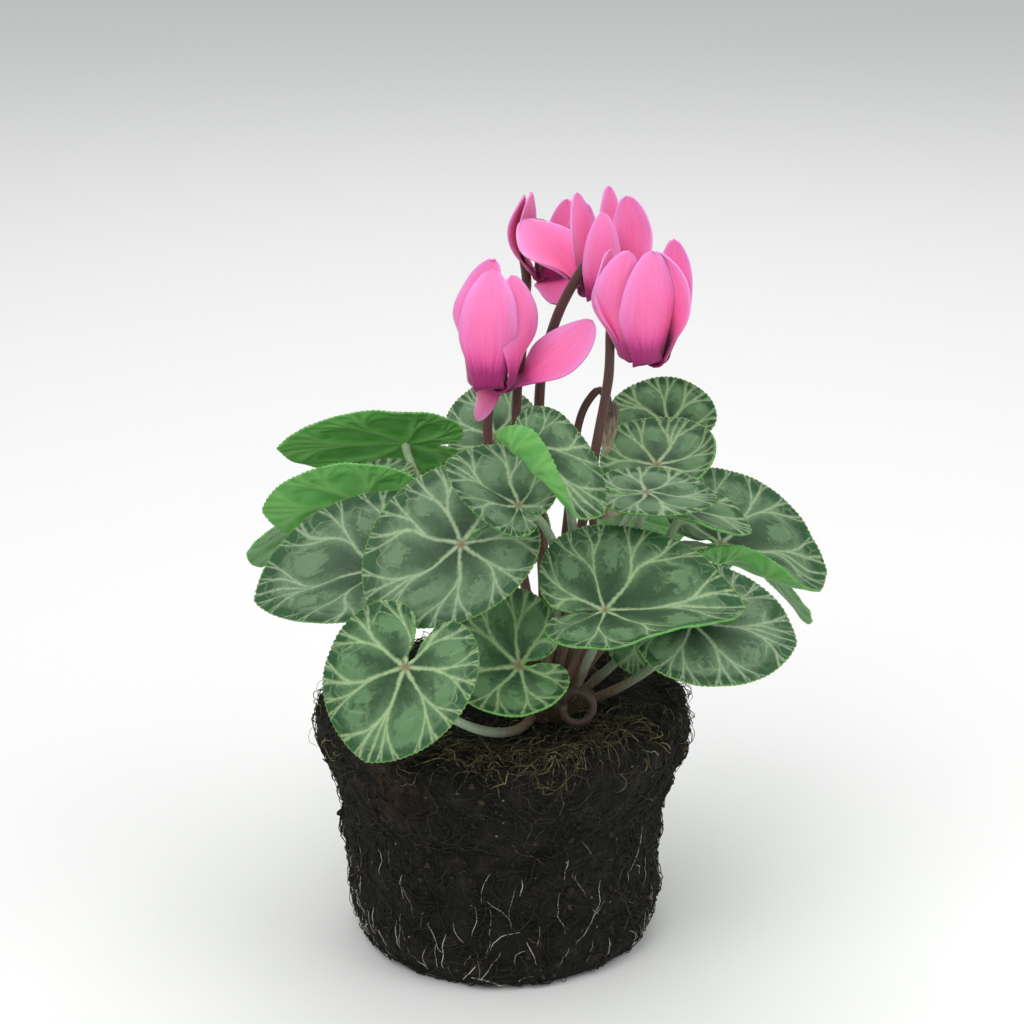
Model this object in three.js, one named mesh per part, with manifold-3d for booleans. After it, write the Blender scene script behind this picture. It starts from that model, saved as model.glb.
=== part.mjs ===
// A florist's cyclamen lifted out of its pot: a round plug of rooted peat, the tuber half sunk in its top,
// and the leaves, flowers and buds that rise from the tuber, each on a stalk of its own.
// Millimetres, +Z up, -Y is the front. The origin is the middle of the plug's flat underside.
import * as THREE from "three";
import { mergeVertices } from "three/addons/utils/BufferGeometryUtils.js";
import Module from "manifold-3d";

const wasm = await Module();
wasm.setup();

// ---------------------------------------------------------------- driving dimensions

const PLUG = {
  height: 79, // soil level above the surface that the plug stands on
  rimRadius: 58.5, // at the top of the flaring band that filled the pot's rim
  ledgeRadius: 53.5, // at the band's foot
  ledgeHeight: 54, // where the band starts
  ledgeRise: 6, // over which the wall steps out to the band
  bandRounding: 1, // by which the band is narrower where it stops flaring
  bandFlare: 13, // height over the ledge at which it stops flaring
  wallTopRadius: 50.8, // just under the band
  wallFootRadius: 48.4,
  footHeight: 7, // chamfer round the base
  baseRadius: 43, // the flat that the plug stands on
  shoulder: 7, // rounding from the band to the top
  sides: 40,
  wallRows: [0.35, 0.7], // shares of the way up the wall at which it swells on its own
  topRings: [0.66, 0.4], // shares of the rim's radius, the same on top
  baseRing: 0.55, // share of the base's radius
  swell: 1.1, // how far the rooted wall swells and sinks
  swellByHeight: 0.09, // how fast that changes with height
  topSwell: 0.8,
  topSwellByRadius: 0.11,
};

// Three waves that add up to an uneven surface: turns round the plug, share of the second value, phase.
const WAVES = [
  [3, 1.7, 0],
  [7, -2.9, 1.3],
  [5, 4.1, 2.6],
];

// splay: how far a stalk at the tuber's edge leans out, as a tangent
const TUBER = { x: 12, y: -4, z: 74, radius: 19, halfHeight: 12, sides: 20, rings: 8, splay: 0.75 };

const CLEARANCE = 0.35; // between any two neighbouring pieces

const BLADE = {
  thickness: 0.9,
  points: 32, // vertices round the margin, every other one a tooth
  rings: [
    { share: 1, every: 1 },
    { share: 0.66, every: 2 },
    { share: 0.3, every: 4 },
  ],
  tooth: 0.013, // share of the leaf's size
  crowding: 1.35, // draws the margin's vertices together at the notch
  notch: 1.5, // degrees between each side of the notch and its middle
  eye: 13, // degrees by which the notch's inner end opens
  eyeAt: 0.13, // share of the leaf's size
  eyeReach: 0.07,
  eyeSharpness: 8, // how closely the eye keeps to the heel
};

// Margin's distance from the stalk, as a share of the leaf's size, by degrees from the tip.
const MARGIN = [
  [0, 1.0],
  [18, 0.93],
  [42, 0.85],
  [70, 0.79],
  [100, 0.765],
  [125, 0.765],
  [145, 0.74],
  [160, 0.675],
  [170, 0.585],
  [176, 0.47],
  [178.6, 0.3],
  [180, 0.06],
];
const MARGIN_TIP_SLOPE = -0.0035; // share of size per degree, which makes the tip a blunt point
const MARGIN_HEEL_SLOPE = 1.2; // times the last stretch's own slope

const LEAF_STALK = { radius: 1.45, sides: 6, steps: 7, sunk: 5, rise: 0.42, approach: 0.3 };

// Each leaf: at, where its stalk meets the blade; size, from there to the tip; wide, the width shares of its
// left and right halves; lean and toward, how far the face tips from level and to which side (0 front, 90
// right, degrees); turn, the tip's turn from straight downhill; left and right, each side's curl in degrees
// over one leaf size, at the heel and at the tip, up if positive; tip and back, the same along the midrib;
// heel, the length share behind the stalk; notch, its own opening; foot, how far the stalk's foot is from the tuber's middle and the
// angle round it; slope, how steeply the stalk leaves the tuber, if not as usual there; approach, the share
// of the way over which it turns square to the blade, if not the usual one; bow, how far the middle of the
// stalk is pushed aside by what stands in its way.
const LEAVES = [
  { at: [-12, -43, 144], size: 33, wide: [0.82, 1.0], lean: 55, toward: -12, turn: -50,
    left: [-8, -8], right: [-8, -8], tip: -5, back: 5, foot: [7.8, -54] },
  { at: [-27.5, -68, 116], size: 29, wide: [0.95, 1.15], lean: 50, toward: -20, turn: -12,
    left: [-15, -15], right: [-15, -15], tip: -15, back: 0, notch: 9, foot: [16, -12], slope: 14, approach: 0.15,
    bow: [0, -4, -9] },
  { at: [-36, -34, 133], size: 40, wide: [0.48, 0.85], lean: 48, toward: -15, turn: -72,
    left: [-20, -20], right: [-10, -10], tip: -10, back: 0, foot: [12.3, -67.5] },
  { at: [4.5, -42, 105.5], size: 24, wide: [0.92, 1.3], lean: 50, toward: 5, turn: -82,
    left: [45, 45], right: [35, 35], tip: 30, back: 30, heel: 0.95, notch: 5, foot: [13.2, -34], slope: 30 },
  { at: [4.5, -50, 158], size: 25, wide: [0.48, 0.8], lean: 55, toward: -10, turn: -118,
    left: [10, 10], right: [18, 18], tip: 10, back: 10, heel: 0.5, foot: [7.8, -18], bow: [12, 4, 0] },
  { at: [8, -56, 178], size: 28, wide: [0.62, 0.95], lean: 50, toward: 15, turn: 36,
    left: [15, 15], right: [215, 180], tip: 0, back: 0, heel: 0.5, foot: [7.8, 18], approach: 0.12,
    bow: [11, 10, 9.5] },
  { at: [29.4, -50, 126], size: 42, wide: [0.9, 0.42], lean: 40, toward: 5, turn: 92,
    left: [0, 0], right: [40, 380], tip: -12, back: -5, heel: 0.68, foot: [12.3, 45] },
  { at: [55.5, -38, 118], size: 33, wide: [0.82, 0.78], lean: 45, toward: 15, turn: 74,
    left: [0, 0], right: [0, 0], tip: -10, back: 10, heel: 0.8, foot: [16, 72], slope: 25 },
  { at: [42, -3, 102], size: 16, wide: [0.9, 0.9], lean: 35, toward: 0, turn: -10,
    left: [5, 5], right: [5, 5], tip: -10, back: 0, foot: [13.6, 90], slope: 40 },
  { at: [42, -26, 154], size: 22, wide: [0.62, 0.52], lean: 22, toward: 5, turn: 88,
    left: [10, 10], right: [-60, -40], tip: -15, back: 0, foot: [7.8, 54] },
  { at: [53.5, -15.7, 146], size: 22, wide: [0.75, 0.6], lean: 20, toward: 30, turn: 50,
    left: [10, 10], right: [70, 50], tip: -15, back: 0, foot: [7.8, 90] },
  { at: [67, 4, 127], size: 38, wide: [0.95, 0.85], lean: 45, toward: 25, turn: 70,
    left: [-5, -5], right: [190, 110], tip: -12, back: 0, heel: 0.75, foot: [12.3, 112.5] },
  { at: [47.5, 14, 149.5], size: 24, wide: [1.0, 1.0], lean: 20, toward: -10, turn: 165,
    left: [45, 45], right: [45, 45], tip: 10, back: 0, foot: [7.8, 126] },
  { at: [-43, -9, 144.5], size: 30, wide: [0.7, 0.75], lean: 72, toward: 175, turn: 88,
    left: [-10, -10], right: [-10, -10], tip: -10, back: 0, foot: [12.3, -90], approach: 0.15 },
  { at: [-30.5, 21, 154.5], size: 40, wide: [0.45, 0.5], lean: 62, toward: 180, turn: 92,
    left: [10, 10], right: [10, 10], tip: -10, back: 0, heel: 0.7, foot: [7.8, -90], approach: 0.15 },
  { at: [-38, 8, 144], size: 18, wide: [0.8, 0.8], lean: 35, toward: -30, turn: -60,
    left: [10, 10], right: [10, 10], tip: -10, back: 0, foot: [12.3, -112.5] },
  { at: [-2.4, 33.5, 153], size: 22, wide: [0.9, 0.9], lean: 40, toward: -10, turn: -150,
    left: [10, 10], right: [10, 10], tip: -10, back: 0, foot: [7.8, -126] },
  { at: [53, 47, 153], size: 22, wide: [0.9, 0.9], lean: 50, toward: -20, turn: -110,
    left: [10, 10], right: [10, 10], tip: -10, back: 0, foot: [12.3, 157.5] },
  { at: [-57, 41.5, 127], size: 36, wide: [0.9, 0.9], lean: 38, toward: -130, turn: 10,
    left: [-5, -5], right: [-5, -5], tip: -15, back: 0, foot: [12.3, -135] },
  { at: [-12, 58, 120], size: 38, wide: [0.9, 0.9], lean: 48, toward: 170, turn: -15,
    left: [-5, -5], right: [-5, -5], tip: -15, back: 0, foot: [12.3, -157.5] },
  { at: [40, 66, 118], size: 31, wide: [0.9, 0.9], lean: 42, toward: 150, turn: 10,
    left: [10, 10], right: [10, 10], tip: -15, back: 0, foot: [12.3, 180] },
  { at: [78, 34, 115], size: 34, wide: [0.9, 0.9], lean: 45, toward: 110, turn: -10,
    left: [-5, -5], right: [-5, -5], tip: -15, back: 0, foot: [12.3, 135] },
];

const FLOWER_STALK = { radius: 1.6, sides: 6, steps: 15, sunk: 5 };

// The stalk's bend over the calyx: how far out to its own side and how far up from the calyx's top.
const HOOK = [
  { out: 9.5, up: 0.5 },
  { out: 5.6, up: 4.8 },
  { out: 0.8, up: 3.4 },
];

// The bloom's cup, radius and height over the mouth: from the closed end's middle down the inside, round the
// mouth, and up the outside.
const CUP = {
  length: 9.5,
  sides: 8,
  profile: [
    [0, 8.2],
    [2, 8.2],
    [2.8, 5.2],
    [2.9, 1.6],
    [3.9, 1],
    [4.6, 1.8],
    [4.8, 5.2],
    [3.9, 8.7],
    [2.9, 9.5],
    [0, 9.5],
  ],
};

// The calyx that sits on the cup's closed end, radius and height over it.
const CALYX = {
  height: 3,
  sides: 10,
  profile: [
    [0, 0],
    [3.2, 0],
    [3.6, 0.9],
    [2, 3],
    [0, 3.4],
  ],
};

const PETAL = {
  thickness: 0.9,
  across: 3,
  rows: [0, 0.09, 0.17, 0.38, 0.64, 0.86, 1], // shares of the length, close together over the fold
  fold: 1.9, // radius of the turn at the mouth
  foldAt: 3.1, // how far from the axis the petal leaves the cup
  rootAt: 1.9, // how far up inside the cup it starts
  baseWidth: 9,
  widensFrom: 0.06, // shares of the length
  widestAt: 0.5,
  tipFrom: 0.42, // where it starts to narrow
  tipReach: 2.2, // how late it narrows from there on
  tipRound: 0.75, // how bluntly it ends
  tipWidth: 0.1, // share of the width left at the end
  layer: 10, // degrees that its root is turned, so that it passes over one neighbour and under the other
  freeFrom: 0.12, // shares of the length between which it takes on its own twist and hollow
  freeBy: 0.75,
};

// Each bloom: mouth, the middle of its open end, which faces down; axis, from the mouth towards the calyx;
// route, points of its stalk between the tuber and the hook over the calyx; hook, the side from which the
// stalk comes over (0 front, 90 right). Each petal: side, where it leaves the mouth; lift, how far it is
// thrown back from level; arch, degrees that it bends on along its length; twist, its turn about its own
// midline; cup, how far it is hollowed.
const BLOOMS = [
  {
    mouth: [-3.4, -6, 181], axis: [0.02, 0.1, 1], hook: 118, foot: [3.3, -60],
    route: [[12, -7, 110], [10, -7, 140], [4.3, -4, 161.5], [4.3, 0, 180.5]],
    petals: [
      { side: -78, lift: 85, arch: 38, twist: 66, length: 43, width: 16, cup: 25 },
      { side: -9, lift: 84, arch: 34, twist: 15, length: 40, width: 19, cup: 27 },
      { side: 76, lift: 74, arch: 44, twist: -60, length: 38, width: 14, cup: 21 },
      { side: 98, lift: 22, arch: 38, twist: 44, length: 35, width: 18, cup: 24 },
      { side: -165, lift: -44, arch: 0, twist: 75, length: 22, width: 9, cup: 15 },
    ],
  },
  {
    mouth: [41, -18, 193], axis: [0.03, -0.08, 1], hook: -110, foot: [3.3, 40],
    route: [[18, -7, 110], [24, -10, 140], [28, -12, 166], [31, -13, 185]],
    petals: [
      { side: -62, lift: 69, arch: 50, twist: 56, length: 38, width: 17, cup: 27 },
      { side: 12, lift: 84, arch: 30, twist: 10, length: 38, width: 20, cup: 34 },
      { side: 86, lift: 73, arch: 60, twist: 64, length: 38, width: 15, cup: 15 },
      { side: 124, lift: 76, arch: 24, twist: 50, length: 39, width: 13, cup: 23 },
      { side: -98, lift: 66, arch: 37, twist: -39, length: 37, width: 13, cup: 15 },
    ],
  },
  {
    mouth: [14, 37, 205], axis: [0.1, -0.36, 1], hook: -100, foot: [3.3, -150],
    route: [[6, 10, 115], [-3, 18, 145], [-5, 23, 161], [0.5, 30, 184], [7, 35, 200]],
    petals: [
      { side: -80, lift: 53, arch: 67, twist: -41, length: 34, width: 11, cup: 12 },
      { side: -88, lift: 72, arch: 35, twist: -32, length: 33, width: 14, cup: 24 },
      { side: 108, lift: 74, arch: 24, twist: 60, length: 29, width: 11, cup: 28 },
      { side: 10, lift: 10, arch: -80, twist: 0, length: 12, width: 12, cup: 20 },
      { side: 162, lift: 66, arch: 20, twist: 20, length: 25, width: 10, cup: 20 },
    ],
  },
  {
    mouth: [29, 5, 206], axis: [0.0, 0.1, 1], hook: -8, foot: [3.3, 130],
    route: [[13, 2, 115], [11, 4, 150], [11.6, 6.5, 182], [15.8, 5, 198.5], [20, 1, 209], [25, -3, 218]],
    petals: [
      { side: 108, lift: 66, arch: 52, twist: 62, length: 34, width: 15, cup: 25 },
      { side: 2, lift: 56, arch: 58, twist: 10, length: 31, width: 12.5, cup: 30 },
      { side: -120, lift: 45, arch: 1, twist: -12, length: 33, width: 29, cup: 19 },
      { side: 160, lift: 84, arch: 14, twist: 60, length: 36, width: 11, cup: 26 },
      { side: -140, lift: 84, arch: -4, twist: 4, length: 34, width: 12, cup: 23 },
    ],
  },
];

// Buds: stalk and bud, their radii; route, points of the stalk from the tuber to the bud's foot; the bud goes
// on from there to tip.
const BUDS = [
  { name: "nodding_bud", foot: [7.8, 162], stalk: 1.3, bud: 3.1,
    route: [[17, 4, 110], [20, 4, 140], [23, 3, 167], [25.6, 3, 173.5], [29, 3, 177], [32.3, 3, 173.3]],
    tip: [31.2, 3, 156] },
  { name: "young_bud", foot: [12.3, 22.5], stalk: 1.3, bud: 2.9,
    route: [[25, -20, 105], [27, -20.5, 135], [26.5, -20.5, 146]], tip: [39, -20, 149] },
];

// A bud's outline: share of its radius, share of its length.
const BUD_PROFILE = [
  [0, -0.02],
  [0.55, 0],
  [0.95, 0.16],
  [1, 0.34],
  [0.8, 0.62],
  [0.42, 0.88],
  [0, 1],
];
const BUD_SIDES = 8;

// A young flower stalk that is still coiled up, just over the peat: radius of its ring, and where round the
// ring it starts and how far it goes on, in degrees (0 right, 90 up, as seen from the front); drift, how far
// it moves towards the front meanwhile; rise, its straight part over the tuber.
const CURL = {
  name: "coiled_stalk", foot: [12.3, 0], rise: 2, radius: 1.2, steps: 22,
  centre: [22.5, -27, 87], ringRadius: 4.6, start: 200, turn: -400, drift: 5, points: 12,
};

// ---------------------------------------------------------------- finishes

const FINISH = {
  peat: { color: 0x2a2019, roughness: 0.95 },
  tuber: { color: 0x4a3322, roughness: 0.85 },
  leaf: { color: 0x5f7f5c, roughness: 0.55 },
  leafStalk: { color: 0x7a6a55, roughness: 0.5 },
  flowerStalk: { color: 0x6a3f38, roughness: 0.5 },
  petal: { color: 0xf06fb4, roughness: 0.45 },
  bud: { color: 0x8c7a63, roughness: 0.55 },
};

// ---------------------------------------------------------------- vectors and solids

const ALMOST = 0.01; // a length or an angle too small to count
const UP = new THREE.Vector3(0, 0, 1);
const radians = THREE.MathUtils.degToRad;
const point = ([x, y, z]) => new THREE.Vector3(x, y, z);

/** Level direction at an angle round the plant: 0 is the front, 90 the right. */
function levelDirection(degrees) {
  const angle = radians(degrees);
  return new THREE.Vector3(Math.sin(angle), -Math.cos(angle), 0);
}

/** A smooth value from -1 to 1 that differs from place to place. */
function unevenness(angle, other) {
  const heights = WAVES.map(([turns, share, phase]) => Math.sin(angle * turns + other * share + phase));
  return heights.reduce((sum, height) => sum + height) / WAVES.length;
}

function toSolid(geometry) {
  const plain = geometry.clone();
  plain.deleteAttribute("normal");
  plain.deleteAttribute("uv");
  const merged = mergeVertices(plain, 1e-4);
  const vertProperties = new Float32Array(merged.attributes.position.array);
  const triVerts = new Uint32Array(merged.index.array);
  return new wasm.Manifold(new wasm.Mesh({ numProp: 3, vertProperties, triVerts }));
}

function toGeometry(solid) {
  const mesh = solid.getMesh();
  const geometry = new THREE.BufferGeometry();
  geometry.setAttribute("position", new THREE.BufferAttribute(new Float32Array(mesh.vertProperties), 3));
  geometry.setIndex(new THREE.BufferAttribute(new Uint32Array(mesh.triVerts), 1));
  return geometry;
}

function namedMesh(name, geometry, finish) {
  const mesh = new THREE.Mesh(geometry, new THREE.MeshStandardMaterial({ ...finish, metalness: 0 }));
  mesh.name = name;
  return mesh;
}

/** A turned body from its outline, radius and height, with its axis upright. */
function latheOf(profile, sides) {
  const lathe = new THREE.LatheGeometry(profile.map(([r, z]) => new THREE.Vector2(r, z)), sides);
  return lathe.rotateX(Math.PI / 2);
}

/** A round bar of one thickness along a curve, with flat ends. */
function bar(curve, radius, sides, steps) {
  const corners = Array.from({ length: sides }, (_, i) => {
    const angle = (i / sides) * 2 * Math.PI;
    return new THREE.Vector2(radius * Math.cos(angle), radius * Math.sin(angle));
  });
  const section = new THREE.Shape(corners);
  return new THREE.ExtrudeGeometry(section, { steps, bevelEnabled: false, extrudePath: curve });
}

/** A curve that starts a little before another one does, for the hole that the other one stands in. */
class LongerCurve extends THREE.Curve {
  constructor(curve, extra) {
    super();
    this.curve = curve;
    this.extra = extra;
  }

  getPoint(t, target = new THREE.Vector3()) {
    const start = this.curve.getPoint(0);
    const away = this.curve.getTangent(0).multiplyScalar(-this.extra);
    const share = this.extra / this.curve.getLength();
    if (t < share) return target.copy(start).addScaledVector(away, 1 - t / share);
    return this.curve.getPoint((t - share) / (1 - share), target);
  }
}

// ---------------------------------------------------------------- the tuber's crown

/** Point on the tuber's upper surface, at a distance from its middle and an angle round it. */
function crownPoint(ring, degrees) {
  const out = levelDirection(degrees);
  const height = TUBER.halfHeight * Math.sqrt(1 - (ring / TUBER.radius) ** 2);
  return new THREE.Vector3(TUBER.x, TUBER.y, TUBER.z + height).addScaledVector(out, ring);
}

/** Direction in which a stalk leaves the crown: up in the middle and outwards near the edge. */
function crownDirection(ring, degrees) {
  return levelDirection(degrees).multiplyScalar((TUBER.splay * ring) / TUBER.radius).add(UP).normalize();
}

function slopedDirection(degrees, slope) {
  const level = levelDirection(degrees).multiplyScalar(Math.cos(radians(slope)));
  return level.addScaledVector(UP, Math.sin(radians(slope)));
}

// ---------------------------------------------------------------- root ball and tuber

function plugGeometry() {
  const P = PLUG;
  const wallTop = P.ledgeHeight - P.ledgeRise;
  const profile = [
    [0, 0],
    [P.baseRadius * P.baseRing, 0],
    [P.baseRadius, 0],
    [P.wallFootRadius, P.footHeight],
    ...P.wallRows.map((share) => [
      THREE.MathUtils.lerp(P.wallFootRadius, P.wallTopRadius, share),
      THREE.MathUtils.lerp(P.footHeight, wallTop, share),
    ]),
    [P.wallTopRadius, wallTop],
    [P.ledgeRadius, P.ledgeHeight],
    [P.rimRadius - P.bandRounding, P.ledgeHeight + P.bandFlare],
    [P.rimRadius, P.height - P.shoulder],
    [P.rimRadius - 0.35 * P.shoulder, P.height - 0.3 * P.shoulder],
    [P.rimRadius - P.shoulder, P.height],
    ...P.topRings.map((share) => [P.rimRadius * share, P.height]),
    [0, P.height],
  ];
  const lathe = latheOf(profile, P.sides);
  const position = lathe.attributes.position;
  for (let i = 0; i < position.count; i += 1) {
    const at = new THREE.Vector3().fromBufferAttribute(position, i);
    const radius = Math.hypot(at.x, at.y);
    const isTop = at.z > P.height - ALMOST;
    if (at.z < ALMOST || radius < ALMOST) continue;
    const side = Math.round((Math.atan2(at.y, at.x) * P.sides) / (2 * Math.PI));
    const angle = (side * 2 * Math.PI) / P.sides;
    if (isTop) {
      at.z += P.topSwell * (unevenness(angle, radius * P.topSwellByRadius) - 1);
    } else {
      const out = new THREE.Vector3(at.x, at.y, 0).normalize();
      at.addScaledVector(out, P.swell * unevenness(angle, at.z * P.swellByHeight));
    }
    position.setXYZ(i, at.x, at.y, at.z);
  }
  return lathe;
}

function tuberGeometry(extra) {
  const ball = new THREE.SphereGeometry(1, TUBER.sides, TUBER.rings);
  ball.rotateX(Math.PI / 2);
  ball.scale(TUBER.radius + extra, TUBER.radius + extra, TUBER.halfHeight + extra);
  return ball.translate(TUBER.x, TUBER.y, TUBER.z);
}

// ---------------------------------------------------------------- leaves

/** Distance from the stalk to the margin, as a share of the leaf's size, by a smooth curve through MARGIN. */
function marginShare(degrees) {
  const slopes = MARGIN.map((_, i) => {
    if (i === 0) return MARGIN_TIP_SLOPE;
    const before = MARGIN[i][0] - MARGIN[i - 1][0];
    const slopeBefore = (MARGIN[i][1] - MARGIN[i - 1][1]) / before;
    if (i === MARGIN.length - 1) return slopeBefore * MARGIN_HEEL_SLOPE;
    const after = MARGIN[i + 1][0] - MARGIN[i][0];
    const slopeAfter = (MARGIN[i + 1][1] - MARGIN[i][1]) / after;
    return (slopeBefore * after + slopeAfter * before) / (before + after);
  });
  let i = 0;
  while (i < MARGIN.length - 2 && degrees >= MARGIN[i + 1][0]) i += 1;
  const width = MARGIN[i + 1][0] - MARGIN[i][0];
  const t = (degrees - MARGIN[i][0]) / width;
  return (
    (2 * t ** 3 - 3 * t ** 2 + 1) * MARGIN[i][1] +
    (t ** 3 - 2 * t ** 2 + t) * width * slopes[i] +
    (3 * t ** 2 - 2 * t ** 3) * MARGIN[i + 1][1] +
    (t ** 3 - t ** 2) * width * slopes[i + 1]
  );
}

/** The blade's own directions at its stalk: along the midrib, across it and out of the upper face. */
function bladeAxes(leaf) {
  const out = levelDirection(leaf.toward);
  const [sine, cosine] = [Math.sin(radians(leaf.lean)), Math.cos(radians(leaf.lean))];
  const face = out.clone().multiplyScalar(sine).addScaledVector(UP, cosine);
  const downhill = out.clone().multiplyScalar(cosine).addScaledVector(UP, -sine);
  const level = new THREE.Vector3().crossVectors(face, downhill);
  const tip = downhill.multiplyScalar(Math.cos(radians(leaf.turn)));
  tip.addScaledVector(level, Math.sin(radians(leaf.turn)));
  return { tip, side: new THREE.Vector3().crossVectors(face, tip), face };
}

/** Place on the flat, uncurled blade: degrees round from the tip, and share of the way out to the margin. */
function flatPlace(leaf, degrees, share, extraShare) {
  const away = share * (marginShare(Math.abs(degrees)) + extraShare);
  const heel = (Math.abs(degrees) / 180) ** BLADE.eyeSharpness;
  const eye = BLADE.eye * heel * Math.exp(-(((away - BLADE.eyeAt) / BLADE.eyeReach) ** 2));
  const opening = Math.abs(degrees) < 180 ? ((leaf.notch ?? BLADE.notch) * Math.abs(degrees)) / 180 + eye : 0;
  const angle = radians(degrees - Math.sign(degrees) * opening);
  const along = away * leaf.size * Math.cos(angle);
  const across = away * leaf.size * Math.sin(angle);
  return {
    x: along < 0 ? along * (leaf.heel ?? 1) : along,
    y: across * (angle > 0 ? leaf.wide[0] : leaf.wide[1]),
  };
}

/** Rolls a length measured from the stalk, and a height over it, onto an arc of the given curl. */
function roll(length, height, curlDegrees, size) {
  const curvature = radians(Math.abs(curlDegrees) < ALMOST ? ALMOST : curlDegrees) / size;
  const angle = Math.abs(length) * curvature;
  const sign = Math.sign(length);
  return [
    (sign * Math.sin(angle)) / curvature - sign * height * Math.sin(angle),
    (1 - Math.cos(angle)) / curvature + height * Math.cos(angle),
  ];
}

/** Point of the curled blade's middle surface for a place on the flat one. */
function bladePoint(leaf, axes, { x, y }) {
  const toTip = THREE.MathUtils.clamp(x / leaf.size, 0, 1);
  const [heelCurl, tipCurl] = y > 0 ? leaf.left : leaf.right;
  const [across, height] = roll(y, 0, THREE.MathUtils.lerp(heelCurl, tipCurl, toTip), leaf.size);
  const [along, rise] = roll(x, height, x > 0 ? leaf.tip : leaf.back, leaf.size);
  return point(leaf.at)
    .addScaledVector(axes.tip, along)
    .addScaledVector(axes.side, across)
    .addScaledVector(axes.face, rise);
}

function bladeNormal(leaf, axes, { x, y }) {
  const step = 0.2;
  const alongX = bladePoint(leaf, axes, { x: x + step, y }).sub(bladePoint(leaf, axes, { x: x - step, y }));
  const alongY = bladePoint(leaf, axes, { x, y: y + step }).sub(bladePoint(leaf, axes, { x, y: y - step }));
  return alongX.cross(alongY).normalize();
}

function bladeGeometry(leaf) {
  const axes = bladeAxes(leaf);
  const vertices = [];
  const rings = [];
  const addPair = (place) => {
    const middle = bladePoint(leaf, axes, place);
    const half = bladeNormal(leaf, axes, place).multiplyScalar(BLADE.thickness / 2);
    vertices.push(middle.clone().add(half), middle.clone().sub(half));
    return vertices.length - 2;
  };
  for (const { share, every } of BLADE.rings) {
    const ring = [];
    for (let i = 0; i < BLADE.points; i += every) {
      const way = (2 * i) / BLADE.points - 1;
      const degrees = Math.sign(way) * 180 * (1 - (1 - Math.abs(way)) ** BLADE.crowding);
      const tooth = every === 1 && i > 1 && i < BLADE.points - 1 ? BLADE.tooth * (i % 2 === 0 ? 1 : -1) : 0;
      ring.push(addPair(flatPlace(leaf, degrees, share, tooth)));
    }
    rings.push(ring);
  }
  const centre = addPair({ x: 0, y: 0 });
  const triangles = [];
  const addTriangle = (a, b, c) => {
    triangles.push(a, b, c, a + 1, c + 1, b + 1);
  };
  for (let level = 0; level + 1 < rings.length; level += 1) {
    const [outer, inner] = [rings[level], rings[level + 1]];
    const ratio = outer.length / inner.length;
    for (let j = 0; j < inner.length; j += 1) {
      const [near, far] = [inner[j], inner[(j + 1) % inner.length]];
      for (let k = 0; k < ratio; k += 1) {
        const a = outer[(j * ratio + k) % outer.length];
        const b = outer[(j * ratio + k + 1) % outer.length];
        addTriangle(a, b, k < ratio / 2 ? near : far);
      }
      const middle = outer[(j * ratio + Math.ceil(ratio / 2)) % outer.length];
      addTriangle(near, middle, far);
    }
  }
  const innermost = rings[rings.length - 1];
  innermost.forEach((a, j) => addTriangle(a, innermost[(j + 1) % innermost.length], centre));
  rings[0].forEach((a, j) => {
    const b = rings[0][(j + 1) % rings[0].length];
    triangles.push(a, a + 1, b + 1, a, b + 1, b);
  });
  const geometry = new THREE.BufferGeometry();
  const positions = vertices.flatMap((vertex) => vertex.toArray());
  geometry.setAttribute("position", new THREE.Float32BufferAttribute(positions, 3));
  geometry.setIndex(triangles);
  return geometry;
}

/** The leaf stalk's curve: out of the crown, up and square into the underside of the blade. */
function leafStalkCurve(leaf) {
  const { face } = bladeAxes(leaf);
  const [ring, degrees] = leaf.foot;
  const out = leaf.slope === undefined ? crownDirection(ring, degrees) : slopedDirection(degrees, leaf.slope);
  const foot = crownPoint(...leaf.foot).addScaledVector(out, -LEAF_STALK.sunk);
  const span = foot.distanceTo(point(leaf.at));
  const bow = point(leaf.bow ?? [0, 0, 0]);
  const low = foot.clone().addScaledVector(out, span * LEAF_STALK.rise).add(bow);
  const high = point(leaf.at).addScaledVector(face, -span * (leaf.approach ?? LEAF_STALK.approach)).add(bow);
  const slant = point(leaf.at).sub(high).angleTo(face);
  const gap = BLADE.thickness / 2 + CLEARANCE + LEAF_STALK.radius * Math.sin(slant);
  const head = point(leaf.at).addScaledVector(face, -gap);
  return new THREE.CubicBezierCurve3(foot, low, high, head);
}

// ---------------------------------------------------------------- flowers

/** The flower's own directions: axis from mouth to calyx, and two across it, front and right at rest. */
function bloomAxes(bloom) {
  const axis = point(bloom.axis).normalize();
  const right = new THREE.Vector3(1, 0, 0).addScaledVector(axis, -axis.x).normalize();
  return { axis, right, front: new THREE.Vector3().crossVectors(right, axis) };
}

function outward({ right, front }, degrees) {
  const angle = radians(degrees);
  return front.clone().multiplyScalar(Math.cos(angle)).addScaledVector(right, Math.sin(angle));
}

/** Half the petal's width at a share of its length: narrow at the mouth, broad past the middle, blunt. */
function petalHalfWidth(petal, share) {
  const opening = THREE.MathUtils.smoothstep(share, PETAL.widensFrom, PETAL.widestAt);
  const width = THREE.MathUtils.lerp(PETAL.baseWidth, petal.width, opening);
  const past = Math.max(0, (share - PETAL.tipFrom) / (1 - PETAL.tipFrom));
  const tip = (1 - past ** PETAL.tipReach) ** PETAL.tipRound;
  return (width / 2) * (PETAL.tipWidth + (1 - PETAL.tipWidth) * tip);
}

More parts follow.
